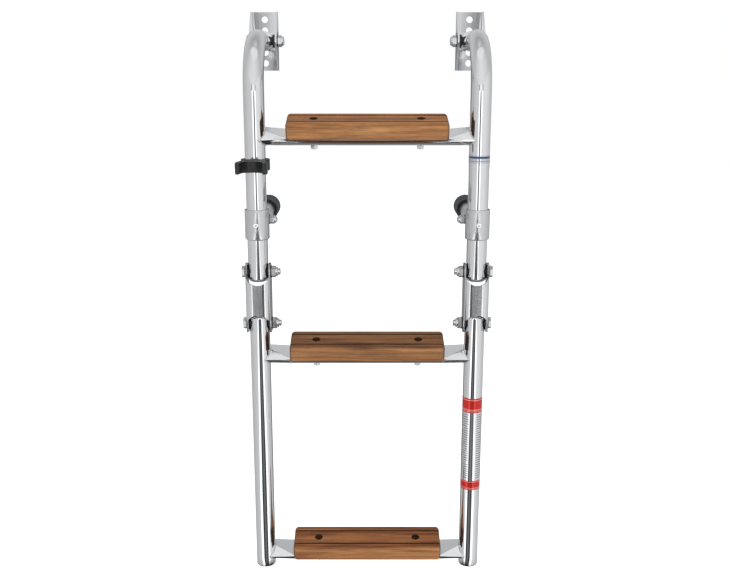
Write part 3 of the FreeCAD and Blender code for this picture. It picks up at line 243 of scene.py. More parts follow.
def film(name, zones, tone, rough, lines=None, marks=None):
    """Printed film on a tube: colour zones by height, generic ruled lines and marks."""
    s = Shader(name)
    x, y, z = s.split(s.coord)
    grit = s.noise(s.scaled(420, 420, 420), 1.0, 4, 0.6)
    col = s.ramp(grit, [(0.3, tuple(c * 0.95 for c in tone)), (0.7, tone)])
    metal = None
    if lines:
        z0, z1, pitch, ink = lines
        inside = s.math("MULTIPLY", s.math("LESS_THAN", z, z0 * MM), s.math("GREATER_THAN", z, z1 * MM))
        saw = s.math("FRACT", s.math("DIVIDE", z, pitch * MM))
        rule = s.math("LESS_THAN", saw, 0.42)
        word = s.noise(s.scaled(260, 260, 1000 / pitch / 2.2), 1.0, 1, 0.4)
        broken = s.math("GREATER_THAN", word, 0.34)
        # left and right of the middle, as two ruled columns
        side = s.math("ABSOLUTE", s.math("SUBTRACT", x, RAIL_X * MM))
        column = s.math("MULTIPLY", s.math("GREATER_THAN", side, 0.0050), s.math("LESS_THAN", side, 0.0122))
        ink_mask = s.math("MULTIPLY", s.math("MULTIPLY", inside, rule), s.math("MULTIPLY", broken, column))
        col = s.mix(s.math("MULTIPLY", ink_mask, 0.62), col, ink)
    metal = 0.95
    red_mask = None
    for z0, z1, colour in zones:
        inside = s.math("MULTIPLY", s.math("LESS_THAN", z, z0 * MM), s.math("GREATER_THAN", z, z1 * MM))
        tint = s.mix(s.remap(grit, 0.3, 0.7, 0.0, 0.35), colour, tuple(c * 0.8 for c in colour[:3]) + (1,))
        col = s.mix(inside, col, tint)
        red_mask = inside if red_mask is None else s.math("MAXIMUM", red_mask, inside)
        if marks:
            for f0, f1 in ((0.10, 0.15), (0.76, 0.82), (0.88, 0.92)):
                rule = s.math("MULTIPLY", s.math("LESS_THAN", z, (z0 + (z1 - z0) * f0) * MM),
                              s.math("GREATER_THAN", z, (z0 + (z1 - z0) * f1) * MM))
                col = s.mix(s.math("MULTIPLY", rule, 0.45), col, (0.80, 0.55, 0.50, 1))
    s.set(Base_Color=col, Roughness=s.remap(grit, 0.3, 0.7, rough - 0.03, rough + 0.06),
          Metallic=s.math("SUBTRACT", metal, s.math("MULTIPLY", red_mask, 0.55)),
          Normal=s.bump(grit, 0.04, 0.0001))
    return s.mat


COOL = (0.80, 0.815, 0.835)
POLISHED = steel("steel_polished", COOL, 0.035, 0.05, (900, 900, 60), 0.02)
PRESSED = steel("steel_pressed", (0.93, 0.94, 0.955), 0.06, 0.08, (60, 700, 700), 0.05, 0.12)
SHEET = steel("steel_sheet", (0.78, 0.785, 0.80), 0.055, 0.10, (1300, 1300, 16), 0.10, 0.0)
SATIN = steel("steel_satin", (0.68, 0.69, 0.71), 0.19, 0.13, (900, 900, 30), 0.12)
ARM = steel("steel_satin_arm", (0.63, 0.665, 0.72), 0.17, 0.12, (900, 30, 900), 0.12)
FASTENER = steel("steel_fastener", (0.76, 0.765, 0.775), 0.10, 0.14, (900, 300, 300), 0.10)
WELD = steel("steel_weld", (0.72, 0.715, 0.71), 0.14, 0.16, (500, 500, 500), 0.20)


def socket_screw(name):
    """Painted shade: a dark socket and a dark seam where the screw meets the sleeve, round a bright steel rim."""
    s = Shader(name)
    x, y, z = s.split(s.coord)
    dx = s.math("SUBTRACT", s.math("ABSOLUTE", x), RAIL_X * MM)
    dz = s.math("SUBTRACT", z, mid("standoff_lock_screw_left").z * MM)
    far = s.math("SQRT", s.math("ADD", s.math("MULTIPLY", dx, dx), s.math("MULTIPLY", dz, dz)))
    grit = s.noise(s.scaled(900, 900, 900), 1.0, 3, 0.6)
    # painted shade: near black in the socket and at the seam, bright steel between
    tone = s.grey(s.remap(far, 0.0, 0.004, 0.0, 1.0), [(0.0, 0.05), (0.34, 0.06), (0.44, 0.90), (0.70, 0.88), (0.84, 0.16)])
    s.set(Base_Color=tone, Metallic=1.0, Roughness=s.remap(grit, 0.3, 0.7, 0.12, 0.24), Normal=s.bump(grit, 0.12, 0.0001))
    return s.mat


SOCKET_SHADED = socket_screw("steel_socket_screw_painted_shade")
# painted shade and painted reflection: the tread screws in their wells take a dark wood-brown tone
SCREW_SHADED = steel("steel_screw_painted_shade", (0.17, 0.095, 0.060), 0.42, 0.20, (900, 900, 300), 0.10)
NYLON = black_plastic("nylon_black", (0.014, 0.014, 0.015), 0.42, 900, 0.12)
CLIP = black_plastic("plastic_matte_black", (0.0085, 0.0085, 0.0095), 0.36, 1300, 0.20)
RUBBER = black_plastic("rubber_grey", (0.040, 0.042, 0.046), 0.62, 700, 0.30)
# painted light and shade: each tread's last tone tints its top face, lighter on the top tread, darker on the middle and
# bottom ones
TEAK = {
    "top": teak("teak_top", LEVELS[0][1],
                ((0.080, 0.030, 0.010), (0.158, 0.062, 0.019), (0.240, 0.104, 0.033), (0.330, 0.160, 0.056)), 3.1, (1.42, 1.32, 1.20)),
    "middle": teak("teak_middle", LEVELS[1][1],
                   ((0.070, 0.026, 0.009), (0.145, 0.058, 0.019), (0.215, 0.094, 0.032), (0.300, 0.145, 0.054)), 7.7, (0.90, 0.84, 0.82)),
    "bottom": teak("teak_bottom", LEVELS[2][1],
                   ((0.085, 0.030, 0.010), (0.185, 0.072, 0.022), (0.275, 0.116, 0.036), (0.370, 0.172, 0.058)), 12.9, (0.84, 0.70, 0.62)),
}
LABEL = film("film_label", [(-442.0, -461.5, (0.44, 0.018, 0.012, 1)), (-555.0, -568.0, (0.44, 0.018, 0.012, 1))],
             (0.72, 0.73, 0.75), 0.07, (-464.0, -553.0, 3.1, (0.10, 0.11, 0.13, 1)), True)
BAND = film("film_band", [(-136.3, -138.9, (0.035, 0.06, 0.13, 1)), (-141.6, -142.6, (0.20, 0.22, 0.25, 1))],
            (0.62, 0.65, 0.70), 0.10)


# ------------------------------------------------------------------- geometry

class Build:
    """Collects closed surfaces, in millimetres, and turns them into one piece."""

    def __init__(self):
        self.verts, self.faces = [], []

    def add(self, verts, faces):
        n = len(self.verts)
        self.verts += [tuple(v) for v in verts]
        self.faces += [tuple(i + n for i in f) for f in faces]

    def loft(self, rings, closed=False, cap_start=True, cap_end=True):
        """Joins rings of equal length; closed joins the last ring to the first."""
        m = len(rings[0])
        verts = [p for r in rings for p in r]
        faces = []
        count = len(rings)
        for i in range(count if closed else count - 1):
            a, b = i * m, ((i + 1) % count) * m
            for j in range(m):
                k = (j + 1) % m
                faces.append((a + j, a + k, b + k, b + j))
        if not closed:
            for flag, ring, base, flip in ((cap_start, rings[0], 0, True),
                                           (cap_end, rings[-1], (count - 1) * m, False)):
                if flag:
                    c = sum((Vector(p) for p in ring), Vector()) / m
                    verts.append(c)
                    ci = len(verts) - 1
                    for j in range(m):
                        k = (j + 1) % m
                        faces.append((base + k, base + j, ci) if flip else (base + j, base + k, ci))
        self.add(verts, faces)

    def turned(self, profile, origin, axis, segs=96, closed=False, radial=None):
        """Turns (radius, along) pairs about an axis through origin."""
        o, t = Vector(origin), Vector(axis).normalized()
        u = t.orthogonal().normalized()
        if abs(t.x) < 0.9:
            u = (Vector((1, 0, 0)) - t * t.x).normalized()
        w = t.cross(u)
        rings = []
        for r, s in profile:
            ring = []
            for k in range(segs):
                a = 2 * math.pi * k / segs
                rr = max(r if radial is None else radial(r, s, a), 0.02)
                ring.append(o + t * s + (u * math.cos(a) + w * math.sin(a)) * rr)
            rings.append(ring)
        self.loft(rings, closed)

    def piece(self, name, mat, body, replaces=(), angle=32.0, bevel=0.0, seg=2):
        me = bpy.data.meshes.new(name)
        me.from_pydata([(x * MM, y * MM, z * MM) for x, y, z in self.verts], [], self.faces)
        return dress(me, name, mat, body, replaces, angle, bevel, seg)


def dress(me, name, mat, body, replaces, angle, bevel, seg=2):
    bm = bmesh.new()
    bm.from_mesh(me)
    bmesh.ops.recalc_face_normals(bm, faces=bm.faces)
    bm.to_mesh(me)
    bm.free()
    for f in me.polygons:
        f.use_smooth = True
    me.set_sharp_from_angle(angle=math.radians(angle))
    me.materials.clear()
    me.materials.append(mat)
    o = bpy.data.objects.new(name, me)
    bpy.context.scene.collection.objects.link(o)
    if bevel:
        mod = o.modifiers.new("edge_break", "BEVEL")
        mod.width = bevel * MM
        mod.segments = seg
        mod.limit_method = "ANGLE"
        mod.angle_limit = math.radians(angle)
        mod.harden_normals = True
        mod.use_clamp_overlap = True
        mod.miter_outer = "MITER_ARC"
        flat = o.modifiers.new("flat_faces", "WEIGHTED_NORMAL")
        flat.keep_sharp = True
        flat.weight = 90
    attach(o, body)
    if replaces:
        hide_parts(*replaces)
    return o


def refined(names, name, mat, body, bevel=0.3, angle=32.0, seg=2):
    """A copy of solid CAD shapes, cleaned into large faces with broken edges."""
    me = bpy.data.meshes.new(name)
    bm = bmesh.new()
    for n in names:
        bm.from_mesh(NODES[n].data)
    bmesh.ops.remove_doubles(bm, verts=bm.verts, dist=2e-6)
    bmesh.ops.dissolve_limit(bm, angle_limit=math.radians(0.5), verts=bm.verts, edges=bm.edges)
    bmesh.ops.dissolve_degenerate(bm, dist=2e-6, edges=bm.edges)
    bm.to_mesh(me)
    bm.free()
    return dress(me, name, mat, body, names, angle, bevel, seg)


def arc(cx, cy, r, a0, a1, n):
    return [(cx + r * math.cos(math.radians(a0 + (a1 - a0) * i / n)),
             cy + r * math.sin(math.radians(a0 + (a1 - a0) * i / n))) for i in range(n + 1)]


SEGS = 112


def sweep_ring(c, t, r, segs=SEGS):
    """Ring round direction t in the YZ plane, about centre c."""
    u = Vector((1, 0, 0))
    w = Vector(t).cross(u)
    return [c + (u * math.cos(2 * math.pi * k / segs) + w * math.sin(2 * math.pi * k / segs)) * r
            for k in range(segs)]


# rails: upper with its bend, lower with an open foot
for side, sign in SIDES:
    x = sign * RAIL_X
    stations = []                                    # (centre, tangent, radius)
    t0 = Vector((0, -1, 0))
    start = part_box("upper_tube_" + side)[1].y / MM
    for a in range(0, 91, 10):
        q = math.radians(a)
        stations.append((Vector((x, start - 5 * (1 - math.cos(q)), 0)), t0, 7.5 + 5 * math.sin(q)))
    stations[0] = (stations[0][0], t0, 7.5)
    for y in (-25, -40, -55, -70, -82):
        stations.append((Vector((x, y, 0)), t0, RAIL_R))
    for i in range(0, 65):
        q = math.radians(90 * i / 64)
        stations.append((Vector((x, -90 - 60 * math.sin(q), -60 + 60 * math.cos(q))),
                         Vector((0, -math.cos(q), -math.sin(q))), RAIL_R))
    t1 = Vector((0, 0, -1))
    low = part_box("upper_tube_" + side)[0].z / MM
    for z in (-70, -90, -120, -160, -200, -240, -270):
        stations.append((Vector((x, RAIL_Y, z)), t1, RAIL_R))
    for a in range(90, -1, -10):
        q = math.radians(a)
        stations.append((Vector((x, RAIL_Y, low + 5 * (1 - math.cos(q)))), t1,
                         7.5 + 5 * math.sin(q)))
    b = Build()
    b.loft([sweep_ring(c, t, r) for c, t, r in stations])
    b.piece("rail_upper_" + side, POLISHED, "upper_section", ["upper_tube_" + side])

    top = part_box("lower_tube_" + side)[1].z / MM
    prof = [(0.05, top)] + [(7.5 + 5 * math.sin(math.radians(a)), top - 5 * (1 - math.cos(math.radians(a))))
                            for a in range(0, 91, 10)]
    prof += [(RAIL_R, z) for z in (-360, -400, -450, -500, -550, -600, -640, -665)]
    prof += [(RAIL_R, FOOT_Z + 0.5), (RAIL_R - 0.15, FOOT_Z + 0.15), (RAIL_R - 0.5, FOOT_Z), (11.2, FOOT_Z),
             (11.0, FOOT_Z + 0.2), (11.0, FOOT_Z + 16.5), (0.05, FOOT_Z + 16.5)]
    b = Build()
    b.turned(prof, (x, RAIL_Y, 0), (0, 0, 1), SEGS)
    b.piece("rail_lower_" + side, POLISHED, "lower_section", ["lower_tube_" + side])

# foot plugs
b = Build()
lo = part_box("foot_plugs")[0].z / MM
for side, sign in SIDES:
    b.turned([(0.05, lo), (10.9, lo), (11.6, lo + 0.08), (12.2, lo + 0.35), (12.45, lo + 0.8), (12.45, FOOT_Z - 0.05),
              (10.95, FOOT_Z - 0.04), (10.94, FOOT_Z + 0.5), (10.9, FOOT_Z + 14.0), (10.2, FOOT_Z + 15.0),
              (0.05, FOOT_Z + 15.0)], (sign * RAIL_X, RAIL_Y, 0), (0, 0, 1), 80)
b.piece("foot_plug_pair", NYLON, "lower_section", ["foot_plugs"])

# pressed cross tubes: round below, top pressed to a flat face that sinks to the seat
PRESS0, PRESS1 = 97.0, RAIL_X
NEAR, SEAT, SPREAD = 6.2, 1.4, 1.13
LEAN = TILT + math.radians(5.0)
ct, st = math.cos(LEAN), math.sin(LEAN)
N_ARC, N_FLAT = 92, 24


N_SLOPE = 12
SLOPE, CREASE = 0.44, 7.0


def section(x):
    """Section at |x| as (v, w) points: belly arc, sloping front face, flat top."""
    q = min(max((PRESS1 - abs(x)) / (PRESS1 - PRESS0), 0.0), 1.0)
    chord = NEAR + (SEAT - NEAR) * q
    spread = 1 + (SPREAD - 1) * q
    edge = math.acos(chord / RAIL_R)
    soft = 0.045                                    # the sheet turns over the edge on a small radius
    half = spread * RAIL_R * math.sin(edge) - 0.45
    crease = CREASE + (-half + 0.7 - CREASE) * q

    def over(a):
        return RAIL_R * math.cos(a) - chord - (spread * RAIL_R * math.sin(a) - crease) * SLOPE

    a0, a1 = math.pi, 2 * math.pi - edge
    for _ in range(40):
        a2 = (a0 + a1) / 2
        if over(a2) > 0:
            a1 = a2
        else:
            a0 = a2
    first, last = edge + soft, a0 - 0.01
    pts = [(spread * RAIL_R * math.sin(first + (last - first) * k / (N_ARC - 1)),
            RAIL_R * math.cos(first + (last - first) * k / (N_ARC - 1))) for k in range(N_ARC)]
    v0, w0 = spread * RAIL_R * math.sin(a0 + 0.004), RAIL_R * math.cos(a0 + 0.004)
    w0 = min(w0, chord + (v0 - crease) * SLOPE)
    for k in range(N_SLOPE):
        f = (k + 0.5) / N_SLOPE
        pts.append((v0 + (crease - v0) * f, w0 + (chord - w0) * f - 0.02 * math.sin(math.pi * f)))
    for k in range(N_FLAT):
        f = k / (N_FLAT - 1)
        pts.append((crease + 0.15 + (half - crease - 0.15) * f, chord))
    return pts


N_SECTION = N_ARC + N_SLOPE + N_FLAT


for level, z0 in LEVELS:
    def ring_at(x_of):
        pts = []
        for k in range(N_SECTION):
            x = x_of(k)
            v, w = section(x)[k]
            pts.append(Vector((x, RAIL_Y + v * ct - w * st, z0 + v * st + w * ct)))
        return pts

    cope = []
    for k in range(N_SECTION):
        x = 124.0
        for _ in range(8):
            v, w = section(x)[k]
            y = v * ct - w * st
            x = RAIL_X - math.sqrt(max(12.52 ** 2 - y * y, 0.0))
        cope.append(x)
    half = [ring_at(lambda k, f=f: 120.0 + (cope[k] - 120.0) * f) for f in (1.0, 0.8, 0.6, 0.4, 0.2)]
    half += [ring_at(lambda k, x=x: x) for x in (120, 116, 112, 108, 104, 101, 99, PRESS0, 95, 80, 60, 30, 0)]
    other = [[Vector((-p.x, p.y, p.z)) for p in r] for r in half[:-1]]
    b = Build()
    b.loft(half + other[::-1])
    b.piece("cross_tube_" + level + "_pressed", PRESSED, BODY_OF_LEVEL[level],
            ["cross_tube_" + level], angle=50)
    # weld bead round each saddle, along the coped end of the section
    b = Build()
    for side, sign in SIDES:
        line = []
        for k in range(N_SECTION):
            v, w = section(cope[k])[k]
            n = Vector((0, v * ct - w * st, v * st + w * ct)).normalized()
            c = Vector((sign * cope[k], RAIL_Y + v * ct - w * st, z0 + v * st + w * ct))
            line.append((c, n))
        length, rings, m = 0.0, [], len(line)
        for i in range(m):
            prev, here, nxt = line[i - 1][0], line[i][0], line[(i + 1) % m][0]
            d = (nxt - prev).normalized()
            length += (here - prev).length
            u = (line[i][1] - d * line[i][1].dot(d)).normalized()
            w = d.cross(u)
            rad = 0.62 + 0.13 * abs(math.sin(length * 2.1 + 0.3 * math.sin(length * 0.9)))
            rad += 0.12 * math.sin(length * 0.37 + z0 + sign)
            c = here + u * 0.1
            rings.append([c + (u * math.cos(2 * math.pi * q / 10) + w * math.sin(2 * math.pi * q / 10)) * rad
                          for q in range(10)])
        b.loft(rings, closed=True)
    b.piece("weld_beads_" + level, WELD, BODY_OF_LEVEL[level], angle=60)

# treads and their fasteners
for level, z0 in LEVELS:
    body = BODY_OF_LEVEL[level]
    refined(["tread_" + level], "tread_" + level + "_wood", TEAK[level], body, 0.35, 30)
    refined(["tread_screws_" + level], "tread_screw_pair_" + level, SCREW_SHADED, body, 0.12, 40)
    refined(["tread_nuts_" + level], "tread_nut_pair_" + level, FASTENER, body, 0.2, 28)

# brackets and links
for side, sign in SIDES:
    refined(["bracket_" + side], "bracket_" + side + "_sheet", SHEET, "hull_brackets", 0.35, 40)
    refined(["link_" + side], "link_" + side + "_sheet", SHEET, "hinge_links", 0.35, 40)

# pivot hardware
for names, label, body in (
        (["bracket_bolt_left", "bracket_bolt_right"], "bracket_bolt_pair", "hull_brackets"),
        (["bracket_nuts"], "bracket_nut_pair", "hull_brackets"),
        (["hinge_bolts_upper"], "hinge_bolt_pair_upper", "hinge_links"),
        (["hinge_bolts_lower"], "hinge_bolt_pair_lower", "hinge_links"),
        (["hinge_nuts_upper"], "hinge_nut_pair_upper", "hinge_links"),
        (["hinge_nuts_lower"], "hinge_nut_pair_lower", "hinge_links")):
    refined(names, label, FASTENER, body, 0.25, 26)
for names, label, body in (
        (["bracket_washers"], "bracket_washer_set", "hull_brackets"),
        (["hinge_washers_upper"], "hinge_washer_set_upper", "hinge_links"),
        (["hinge_washers_lower"], "hinge_washer_set_lower", "hinge_links"),
        (["bracket_bushes"], "bracket_bush_set", "upper_section"),
        (["hinge_bushes_upper"], "hinge_bush_set_upper", "upper_section"),
        (["hinge_bushes_lower"], "hinge_bush_set_lower", "lower_section")):
    refined(names, label, NYLON, body, 0.15, 40)

# stand-offs
for side, sign in SIDES:
    x = sign * RAIL_X
    body = "standoff_" + side
    arm_z = mid("standoff_arm_" + side).z
    lo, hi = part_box("standoff_sleeve_" + side)
    z_lo, z_hi = lo.z / MM, hi.z / MM
    b = Build()
    b.turned([(12.8, z_lo + 0.3), (13.1, z_lo), (13.55, z_lo), (13.75, z_lo + 0.08), (14.85, z_lo + 1.2), (15.0, z_lo + 1.5),
              (15.0, z_lo + 12), (15.0, z_hi - 12), (15.0, z_hi - 0.45), (14.87, z_hi - 0.12), (14.6, z_hi),
              (13.1, z_hi), (12.8, z_hi - 0.3)], (x, RAIL_Y, 0), (0, 0, 1), SEGS, closed=True)
    b.turned([(0.05, -137.2), (9.4, -137.2), (9.4, -101.0), (8.4, -100.0), (0.05, -100.0)], (x, 0, arm_z), (0, 1, 0), 64)
    b.piece("standoff_sleeve_" + side + "_turned", SATIN, body, ["standoff_sleeve_" + side])
    b = Build()
    prof = [(9.5, -134.0), (11.0, None), (11.0, -128.0), (11.0, -90), (11.0, -50), (11.0, -7.5), (10.8, -7.05), (10.5, -7.0),
            (9.8, -7.0), (9.5, -7.3), (9.5, -60), (9.5, -110)]
    rings = []
    segs = 96
    for r, y in prof:
        ring = []
        for k in range(segs):
            a = 2 * math.pi * k / segs
            px = r * math.cos(a)
            yy = y
            if y is None or y == -134.0:
                yy = RAIL_Y + math.sqrt(15.06 ** 2 - px * px)
            ring.append(Vector((x + px, yy, arm_z + r * math.sin(a))))
        rings.append(ring)
    b.loft(rings, closed=True)
    b.piece("standoff_arm_" + side + "_tube", ARM, body, ["standoff_arm_" + side])
    # fluted rubber pad

    def flute(r, s, a):
        if r < 14.9 or s > -3.6 or s < -30.4:
            return r
        ends = min(1.0, min(-3.6 - s, s + 30.4) / 0.6)
        phase = abs(((a * 32 / (2 * math.pi)) % 1.0) - 0.5) * 2      # 0 in the groove, 1 on the rib
        cut = min(1.0, max(0.0, (0.42 - phase) / 0.16))
        return r - 0.55 * cut * ends

    R, Lp = 15.5, 34.0
    prof = [(0.05, 0.0), (8.0, 0.0)] + [(p[0], p[1]) for p in arc(R - 1.6, -1.6, 1.6, 90, 0, 8)]
    prof += [(R, s) for s in (-3.0, -3.6, -3.9, -4.2, -10, -17, -24, -29.8, -30.1, -30.4, -31.0)]
    prof += [(p[0], p[1]) for p in arc(R - 1.6, -Lp + 1.6, 1.6, 0, -90, 8)]
    prof += [(13.9, -Lp), (13.6, -Lp + 0.12), (13.5, -Lp + 0.5), (13.5, -Lp + 3.6), (13.3, -Lp + 3.95), (12.9, -Lp + 4.0),
             (11.4, -Lp + 4.0), (11.05, -Lp + 4.3), (11.03, -20), (11.03, -7.0), (0.05, -7.0)]
    b = Build()
    b.turned(prof, (x, 0, arm_z), (0, 1, 0), 384, radial=flute)
    b.piece("standoff_pad_" + side + "_rubber", RUBBER, body, ["standoff_pad_" + side], angle=40)
    refined(["standoff_bolt_" + side], "standoff_bolt_" + side + "_hex", FASTENER, body, 0.2, 26)
    refined(["standoff_nut_" + side], "standoff_nut_" + side + "_cap", FASTENER, body, 0.2, 40)
    refined(["standoff_washers_" + side], "standoff_washer_" + side + "_pair", NYLON, body, 0.2, 40)
    refined(["standoff_lock_screw_" + side], "standoff_lock_screw_" + side + "_hex", SOCKET_SHADED, body, 0.1, 30)

# stowing clip
refined(["stowing_clip"], "stowing_clip_moulded", CLIP, "upper_section", 0.6, 35, 3)

# printed films
for node, mat, body, slot in (("safety_label", LABEL, "lower_section", "label_film"),
                              ("plain_band", BAND, "upper_section", "band_film")):
    lo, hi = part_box(node)
    z_lo, z_hi = lo.z / MM, hi.z / MM
    b = Build()
    b.turned([(12.55, z_lo), (12.66, z_lo), (12.695, z_lo + 0.05), (12.695, z_hi - 0.05), (12.66, z_hi), (12.55, z_hi)],
             (RAIL_X, RAIL_Y, 0), (0, 0, 1), 144, closed=True)
    b.piece(node + "_film", mat, body, [node])


# ----------------------------------------------------------------------- stage

def stage_mesh(name, verts, faces):
    me = bpy.data.meshes.new(name)
    me.from_pydata(verts, [], faces)
    o = bpy.data.objects.new(name, me)
    bpy.context.scene.collection.objects.link(o)
    return o


FLOOR_Z = -1.15
floor = stage_mesh("floor", [(-9, -9, FLOOR_Z), (9, -9, FLOOR_Z), (9, 9, FLOOR_Z), (-9, 9, FLOOR_Z)], [(0, 1, 2, 3)])
s = Shader("floor_pale")
grain = s.noise(s.scaled(6, 6, 6), 1.0, 3, 0.5)
s.set(Base_Color=s.ramp(grain, [(0.3, (0.88, 0.88, 0.88)), (0.7, (0.90, 0.90, 0.90))]), Roughness=0.9)
s.set(Emission_Color=(1, 1, 1, 1), Emission_Strength=0.42)
floor.data.materials.append(s.mat)

# a soft reflection tent, seen in the metal only: soft boxes either side of a
# narrow dark gap behind the camera, greyer walls at the sides
rings, RT, C = [], 0.95, Vector((0.0, -0.15, -0.30))
prof = [(0.02, -0.84), (0.30, -0.84), (0.70, -0.84), (0.90, -0.80), (RT, -0.70)]
prof += [(RT, z) for z in (-0.5, -0.3, -0.1, 0.1, 0.3, 0.5, 0.7)]
prof += [(RT * math.cos(math.radians(a)), 0.7 + 0.55 * math.sin(math.radians(a))) for a in (15, 30, 45, 60, 75, 89)]
tv, tf, M = [], [], 96
for r, z in prof:
    for k in range(M):
        a = 2 * math.pi * k / M
        tv.append((C.x + r * math.sin(a), C.y - r * math.cos(a), C.z + z))
for i in range(len(prof) - 1):
    for k in range(M):
        q = (k + 1) % M
        tf.append((i * M + k, (i + 1) * M + k, (i + 1) * M + q, i * M + q))
tent = stage_mesh("reflection_tent", tv, tf)
s = Shader("tent_glow")
s.nt.nodes.remove(s.bsdf)
p = s.scaled(1, 1, 1, loc=(-C.x, -C.y, -C.z))
x, y, z = s.split(p)
az = s.math("DIVIDE", s.math("ARCTAN2", x, s.math("MULTIPLY", y, -1.0)), math.pi)     # -1 .. 1, 0 at the camera
deg = s.math("MULTIPLY", s.math("ABSOLUTE", az), 180.0)


def clipped(v, a0, a1, b0, b1, kind="LINEAR"):
    n = s.add("ShaderNodeMapRange", interpolation_type=kind)
    s.link(v, n.inputs["Value"])
    for key, val in (("From Min", a0), ("From Max", a1), ("To Min", b0), ("To Max", b1)):
        s.feed(n.inputs[key], val)
    return n.outputs[0]


# soft boxes beside a dark gap; both grow wider towards the floor
gap = clipped(z, 0.0, -0.68, 6.5, 27.0)
reach = clipped(z, -0.10, -0.68, 20.0, 51.0)
out_of_gap = clipped(s.math("SUBTRACT", deg, gap), -1.5, 1.5, 0.0, 1.0, "SMOOTHSTEP")
in_box = clipped(s.math("SUBTRACT", deg, reach), -3.0, 3.0, 1.0, 0.0, "SMOOTHSTEP")
core = clipped(s.math("DIVIDE", deg, gap), 0.25, 0.55, 0.17, 0.04, "SMOOTHSTEP")
wall = s.grey(s.remap(az, -1.0, 1.0, 0.0, 1.0), [
    (0.000, 0.44), (0.12, 0.50), (0.22, 0.58), (0.32, 0.68), (0.45, 0.76), (0.55, 0.92),
    (0.66, 0.88), (0.76, 0.70), (0.88, 0.50), (1.0, 0.44)])
lit = s.math("ADD", s.math("MULTIPLY", wall, s.math("SUBTRACT", 1.0, in_box)), s.math("MULTIPLY", in_box, 1.6))
lower = s.math("ADD", s.math("MULTIPLY", lit, out_of_gap), s.math("MULTIPLY", core, s.math("SUBTRACT", 1.0, out_of_gap)))
side_rise = s.grey(s.remap(deg, 0.0, 180.0, 0.0, 1.0), [
    (0.0, 0.0), (0.05, 0.07), (0.17, 0.27), (0.36, 0.40), (0.64, 0.30), (1.0, 0.26)])
above = clipped(s.math("SUBTRACT", z, side_rise), 0.185, 0.215, 0.0, 1.0)
sky = s.grey(s.remap(deg, 0.0, 180.0, 0.0, 1.0), [
    (0.0, 0.90), (0.17, 0.84), (0.30, 0.76), (0.44, 0.66), (0.52, 0.58), (1.0, 0.46)])
flat = s.math("SQRT", s.math("ADD", s.math("MULTIPLY", x, x), s.math("MULTIPLY", y, y)))
elev = s.math("ARCTAN2", z, flat)
high_back = s.math("MULTIPLY", clipped(elev, math.radians(22), math.radians(38), 0.0, 1.0),
                   clipped(deg, 95.0, 135.0, 0.0, 1.0))
back_tone = s.grey(s.remap(elev, 0.0, math.pi / 2, 0.0, 1.0), [
    (0.36, 0.66), (0.50, 0.62), (0.64, 0.55), (0.76, 0.46), (0.86, 0.62), (0.95, 0.85)])
sky = s.math("ADD", s.math("MULTIPLY", sky, s.math("SUBTRACT", 1.0, high_back)), s.math("MULTIPLY", high_back, back_tone))
updown = s.grey(s.remap(elev, -math.pi / 2, math.pi / 2, 0.0, 1.0), [
    (0.0, 0.04), (0.11, 0.07), (0.17, 0.80), (0.25, 1.0), (0.80, 1.0), (0.90, 0.92), (1.0, 0.85)])
level_mix = s.math("ADD", s.math("MULTIPLY", lower, s.math("SUBTRACT", 1.0, above)),
                   s.math("MULTIPLY", sky, above))
# a broad soft light almost overhead, a little to the front
top_front = s.math("MULTIPLY", clipped(elev, math.radians(60), math.radians(72), 0.0, 1.0),
                   clipped(deg, 75.0, 100.0, 1.0, 0.0))
level_mix = s.math("ADD", s.math("MULTIPLY", level_mix, s.math("SUBTRACT", 1.0, top_front)), s.math("MULTIPLY", top_front, 1.02))
# a narrow dark flag on either side, level with the links
flag = s.math("MULTIPLY", clipped(z, -0.36, -0.34, 0.0, 1.0), clipped(z, -0.13, -0.11, 1.0, 0.0))
flag = s.math("MULTIPLY", flag, s.math("MULTIPLY", clipped(deg, 12.5, 13.5, 0.0, 1.0), clipped(deg, 16.6, 17.2, 1.0, 0.0)))
level_mix = s.math("ADD", s.math("MULTIPLY", level_mix, s.math("SUBTRACT", 1.0, flag)), s.math("MULTIPLY", flag, 0.24))
# level with the brackets: bright in the middle, falling to dark at either side
panel = s.math("MULTIPLY", clipped(z, 0.235, 0.25, 0.0, 1.0), clipped(z, 0.40, 0.44, 1.0, 0.0))
panel = s.math("MULTIPLY", panel, clipped(deg, 20.0, 24.0, 1.0, 0.0))
bright = s.grey(s.remap(deg, 0.0, 30.0, 0.0, 1.0), [
    (0.0, 1.10), (0.42, 1.15), (0.455, 0.90), (0.51, 0.42), (0.56, 0.20), (0.80, 0.26)])
level_mix = s.math("ADD", s.math("MULTIPLY", level_mix, s.math("SUBTRACT", 1.0, panel)), s.math("MULTIPLY", bright, panel))
em = s.add("ShaderNodeEmission")
s.link(s.math("MULTIPLY", level_mix, updown), em.inputs["Strength"])
s.link(em.outputs[0], s.out.inputs[0])
tent.data.materials.append(s.mat)

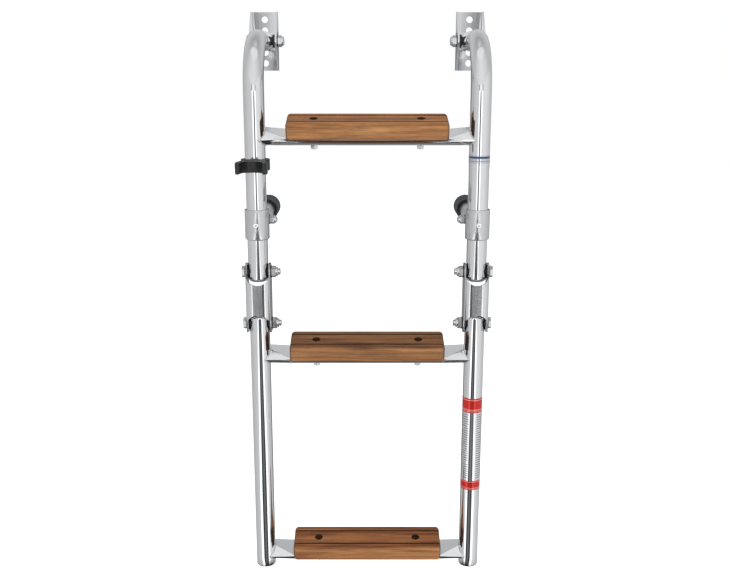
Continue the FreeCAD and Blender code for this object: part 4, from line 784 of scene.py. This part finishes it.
# a grey card behind the ladder, seen by the rails' inner flanks
card = stage_mesh("grey_card", [(-0.30, 0.25, -0.98), (0.30, 0.25, -0.98), (0.30, 0.25, 0.02), (-0.30, 0.25, 0.02)],
                  [(0, 1, 2, 3)])
s = Shader("card_glow")
s.nt.nodes.remove(s.bsdf)
em = s.add("ShaderNodeEmission")
x, y, z = s.split(s.coord)
ax = s.math("ABSOLUTE", x)
beside = s.math("MULTIPLY", clipped(ax, 0.045, 0.055, 0.0, 1.0), clipped(ax, 0.120, 0.130, 1.0, 0.0))
level = s.math("MULTIPLY", clipped(z, -0.30, -0.28, 0.0, 1.0), clipped(z, -0.12, -0.10, 1.0, 0.0))
glow = s.grey(s.noise(s.scaled(5, 5, 5), 1.0, 2), [(0.3, 0.20), (0.7, 0.26)])
s.link(s.math("ADD", glow, s.math("MULTIPLY", s.math("MULTIPLY", beside, level), 0.34)), em.inputs["Strength"])
s.link(em.outputs[0], s.out.inputs[0])
card.data.materials.append(s.mat)
for o in (tent, card):
    o.visible_camera = False
    o.visible_diffuse = False
    o.visible_transmission = False
    o.visible_shadow = False
    o.visible_volume_scatter = False

world = bpy.data.worlds.new("studio")
bpy.context.scene.world = world
world.use_nodes = True
world.node_tree.nodes["Background"].inputs[0].default_value = (1.0, 1.0, 1.0, 1)
world.node_tree.nodes["Background"].inputs[1].default_value = 1.0
world.cycles_visibility.glossy = False


def area(name, at, target, size, power):
    light = bpy.data.lights.new(name, "AREA")
    light.shape = "RECTANGLE"
    light.size, light.size_y = size
    light.energy = power
    o = bpy.data.objects.new(name, light)
    bpy.context.scene.collection.objects.link(o)
    o.location = at
    o.rotation_euler = (Vector(target) - Vector(at)).to_track_quat("-Z", "Y").to_euler()
    o.visible_glossy = False
    o.visible_camera = False
    return o


area("front_left", (-1.6, -2.2, 0.2), (0, -0.15, -0.35), (1.4, 1.8), 22)
area("front_right", (1.6, -2.2, 0.2), (0, -0.15, -0.35), (1.4, 1.8), 22)

cam = bpy.data.cameras.new("camera")
cam.lens = 45.57
cam.sensor_width = 36.0
cam.clip_start = 0.01
co = bpy.data.objects.new("camera", cam)
bpy.context.scene.collection.objects.link(co)
co.location = (-0.0028, -1.2695, -0.030)
co.rotation_euler = (math.radians(90.0 - 13.66), 0.0, 0.0)
bpy.context.scene.camera = co
bpy.context.scene.view_settings.view_transform = "Standard"
